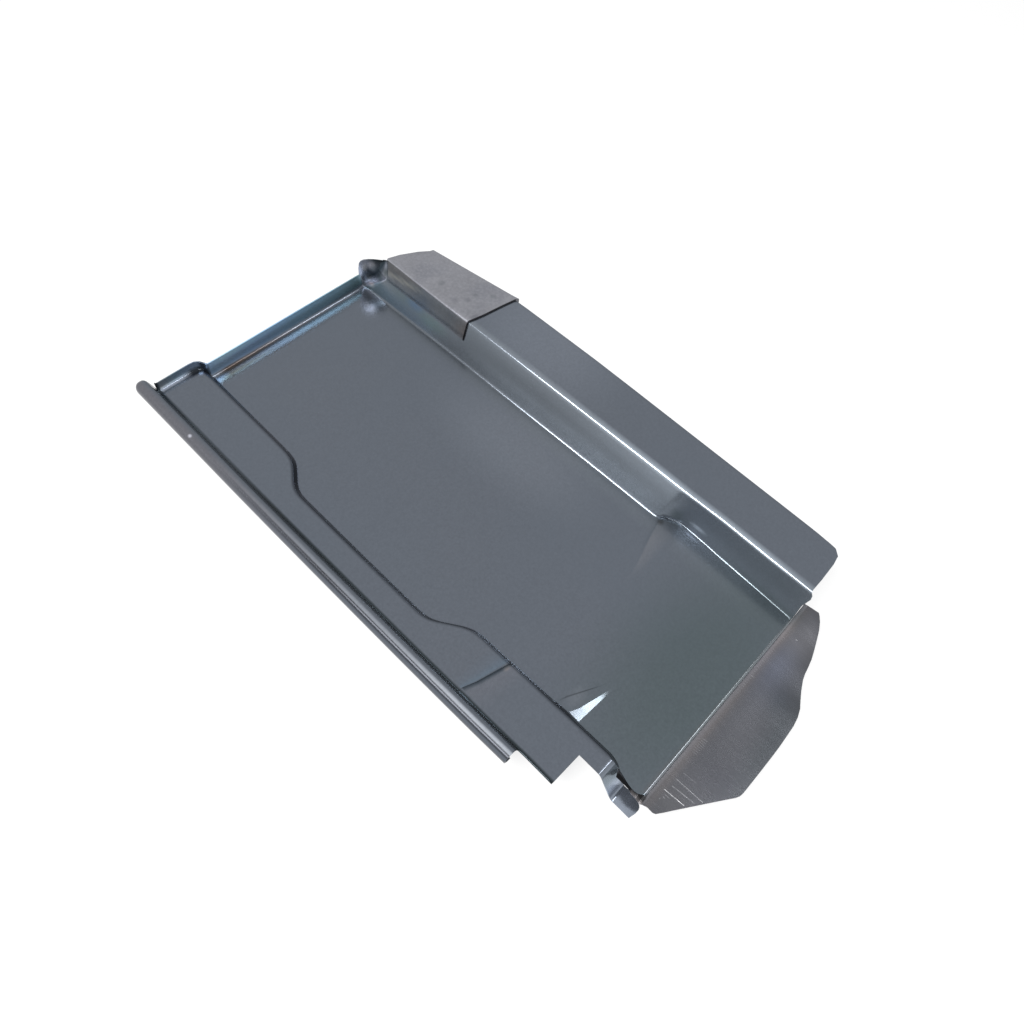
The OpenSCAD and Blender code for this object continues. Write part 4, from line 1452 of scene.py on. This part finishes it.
class ROOF_OT_rib_cap(bpy.types.Operator):
    """Builds the folded cap over the back of the rib"""

    bl_idname = "roof.rib_cap"
    bl_label = "Rib cap"

    def execute(self, context):
        s = context.scene
        grid, cells, painted_light_and_tone = cap_grid(s.roof_sizes)
        mesh = sheet_mesh("cap_fold", grid, cells, s.roof_sizes.cap_sheet * MM_IN_M, painted_light_and_tone)
        new_piece("cap_fold", mesh, cap_zinc(s.roof_finish), "rib_cap")
        return {"FINISHED"}


LAMP_DISTANCE = 3.0
FLOOR_SIDE = 4

# The camera's place on the drawing, and its own axes
EYE = (-155.5, 12.3, 457.5)
EYE_RIGHT = np.array([0.6972, -0.7096, 0.1022])
EYE_UP = np.array([0.5693, 0.6347, 0.5225])


def placed(item, right, up, back, place):
    """Links an object and sets its axes and its place."""
    bpy.context.scene.collection.objects.link(item)
    matrix = Matrix.Identity(4)
    for i in range(3):
        matrix[i][0], matrix[i][1], matrix[i][2], matrix[i][3] = right[i], up[i], back[i], place[i]
    item.matrix_world = matrix


def soft_box(name, direction, size, radiance):
    """A flat light that fills a patch of sky about a direction."""
    lamp = bpy.data.lights.new(name, "AREA")
    lamp.shape = "RECTANGLE"
    lamp.size, lamp.size_y = size
    lamp.energy = radiance * math.pi * size[0] * size[1]
    back = unit(np.array(direction, float))
    right = unit(np.cross([0, 1, 0], back))
    placed(bpy.data.objects.new(name, lamp), right, np.cross(back, right), back, back * LAMP_DISTANCE)


class ROOF_OT_stage(bpy.types.Operator):
    """Sets the floor, the light and the camera"""

    bl_idname = "roof.stage"
    bl_label = "Stage"

    def execute(self, context):
        scene = context.scene
        stage = scene.roof_stage
        scene.view_settings.view_transform = "Standard"
        self.floor(scene)
        self.room(scene, stage.fill)
        soft_box("strip_light", (-0.55, -0.03, 1.0), (0.9, 2.6), stage.lamp)
        soft_box("front_light", (0.36, -0.42, 0.84), (0.7, 0.4), stage.lamp)
        camera = bpy.data.cameras.new("camera")
        camera.lens = stage.lens
        camera.sensor_width = 36
        camera.clip_start = 0.01
        item = bpy.data.objects.new("camera", camera)
        placed(item, EYE_RIGHT, EYE_UP, np.cross(EYE_RIGHT, EYE_UP), drawing(*EYE))
        scene.camera = item
        return {"FINISHED"}

    def floor(self, scene):
        """A pale floor that looks nearly white and keeps the panel's shadow."""
        mesh = bpy.data.meshes.new("floor")
        corners = [(-FLOOR_SIDE, -FLOOR_SIDE, 0), (FLOOR_SIDE, -FLOOR_SIDE, 0), (FLOOR_SIDE, FLOOR_SIDE, 0),
                   (-FLOOR_SIDE, FLOOR_SIDE, 0)]
        mesh.from_pydata(corners, [], [(0, 1, 2, 3)])
        ground = bpy.data.objects.new("floor", mesh)
        scene.collection.objects.link(ground)
        f = Finish("pale_floor")
        path = f.node("ShaderNodeLightPath")
        seen = path.out("Is Camera Ray").most(path.out("Is Glossy Ray"))
        matt = f.node("ShaderNodeBsdfDiffuse", {}, {"Color": (0.86, 0.86, 0.86, 1)}).out("BSDF")
        white = f.node("ShaderNodeEmission", {}, {"Color": (1, 1, 1, 1), "Strength": 1.0}).out("Emission")
        both = f.node("ShaderNodeMixShader", {}, {0: seen * 0.7, 1: matt, 2: white}).out("Shader")
        f.node("ShaderNodeOutputMaterial", {}, {"Surface": both})
        mesh.materials.append(f.material)

    def room(self, scene, fill):
        """A white room for the camera and for reflections, and a dimmer one for matt surfaces."""
        world = bpy.data.worlds.new("room")
        scene.world = world
        world.use_nodes = True
        world.node_tree.nodes.clear()
        # the world's tree takes the same short forms as a material's
        w = Finish.__new__(Finish)
        w.nodes, w.links = world.node_tree.nodes, world.node_tree.links
        path = w.node("ShaderNodeLightPath")
        seen = path.out("Is Camera Ray").most(path.out("Is Glossy Ray")).most(path.out("Is Transmission Ray"))
        inputs = {"Color": (1, 1, 1, 1), "Strength": fill + seen * (1.0 - fill)}
        sky = w.node("ShaderNodeBackground", {}, inputs).out("Background")
        w.node("ShaderNodeOutputWorld", {}, {"Surface": sky})


class ROOF_PT_panel(bpy.types.Panel):
    """Lists the panel's pieces and settings"""

    bl_idname = "ROOF_PT_panel"
    bl_label = "Roof Panel"
    bl_space_type = "VIEW_3D"
    bl_region_type = "UI"
    bl_category = "Roof Panel"

    def draw(self, context):
        for op in OPERATORS:
            self.layout.operator(op.bl_idname)
        for group in (context.scene.roof_sizes, context.scene.roof_finish, context.scene.roof_stage):
            box = self.layout.box()
            for key in group.__annotations__:
                box.prop(group, key)


OPERATORS = (ROOF_OT_panel_sheet, ROOF_OT_front_apron, ROOF_OT_rib_cap, ROOF_OT_stage)
CLASSES = (PanelSizes, PanelFinish, StageSettings, *OPERATORS, ROOF_PT_panel)


def register():
    for c in CLASSES:
        bpy.utils.register_class(c)
    bpy.types.Scene.roof_sizes = bpy.props.PointerProperty(type=PanelSizes)
    bpy.types.Scene.roof_finish = bpy.props.PointerProperty(type=PanelFinish)
    bpy.types.Scene.roof_stage = bpy.props.PointerProperty(type=StageSettings)


def unregister():
    for name in ("roof_sizes", "roof_finish", "roof_stage"):
        delattr(bpy.types.Scene, name)
    for c in reversed(CLASSES):
        bpy.utils.unregister_class(c)


def main():
    register()
    bpy.ops.roof.panel_sheet()
    bpy.ops.roof.front_apron()
    bpy.ops.roof.rib_cap()
    bpy.ops.roof.stage()


if __name__ == "__main__":
    main()
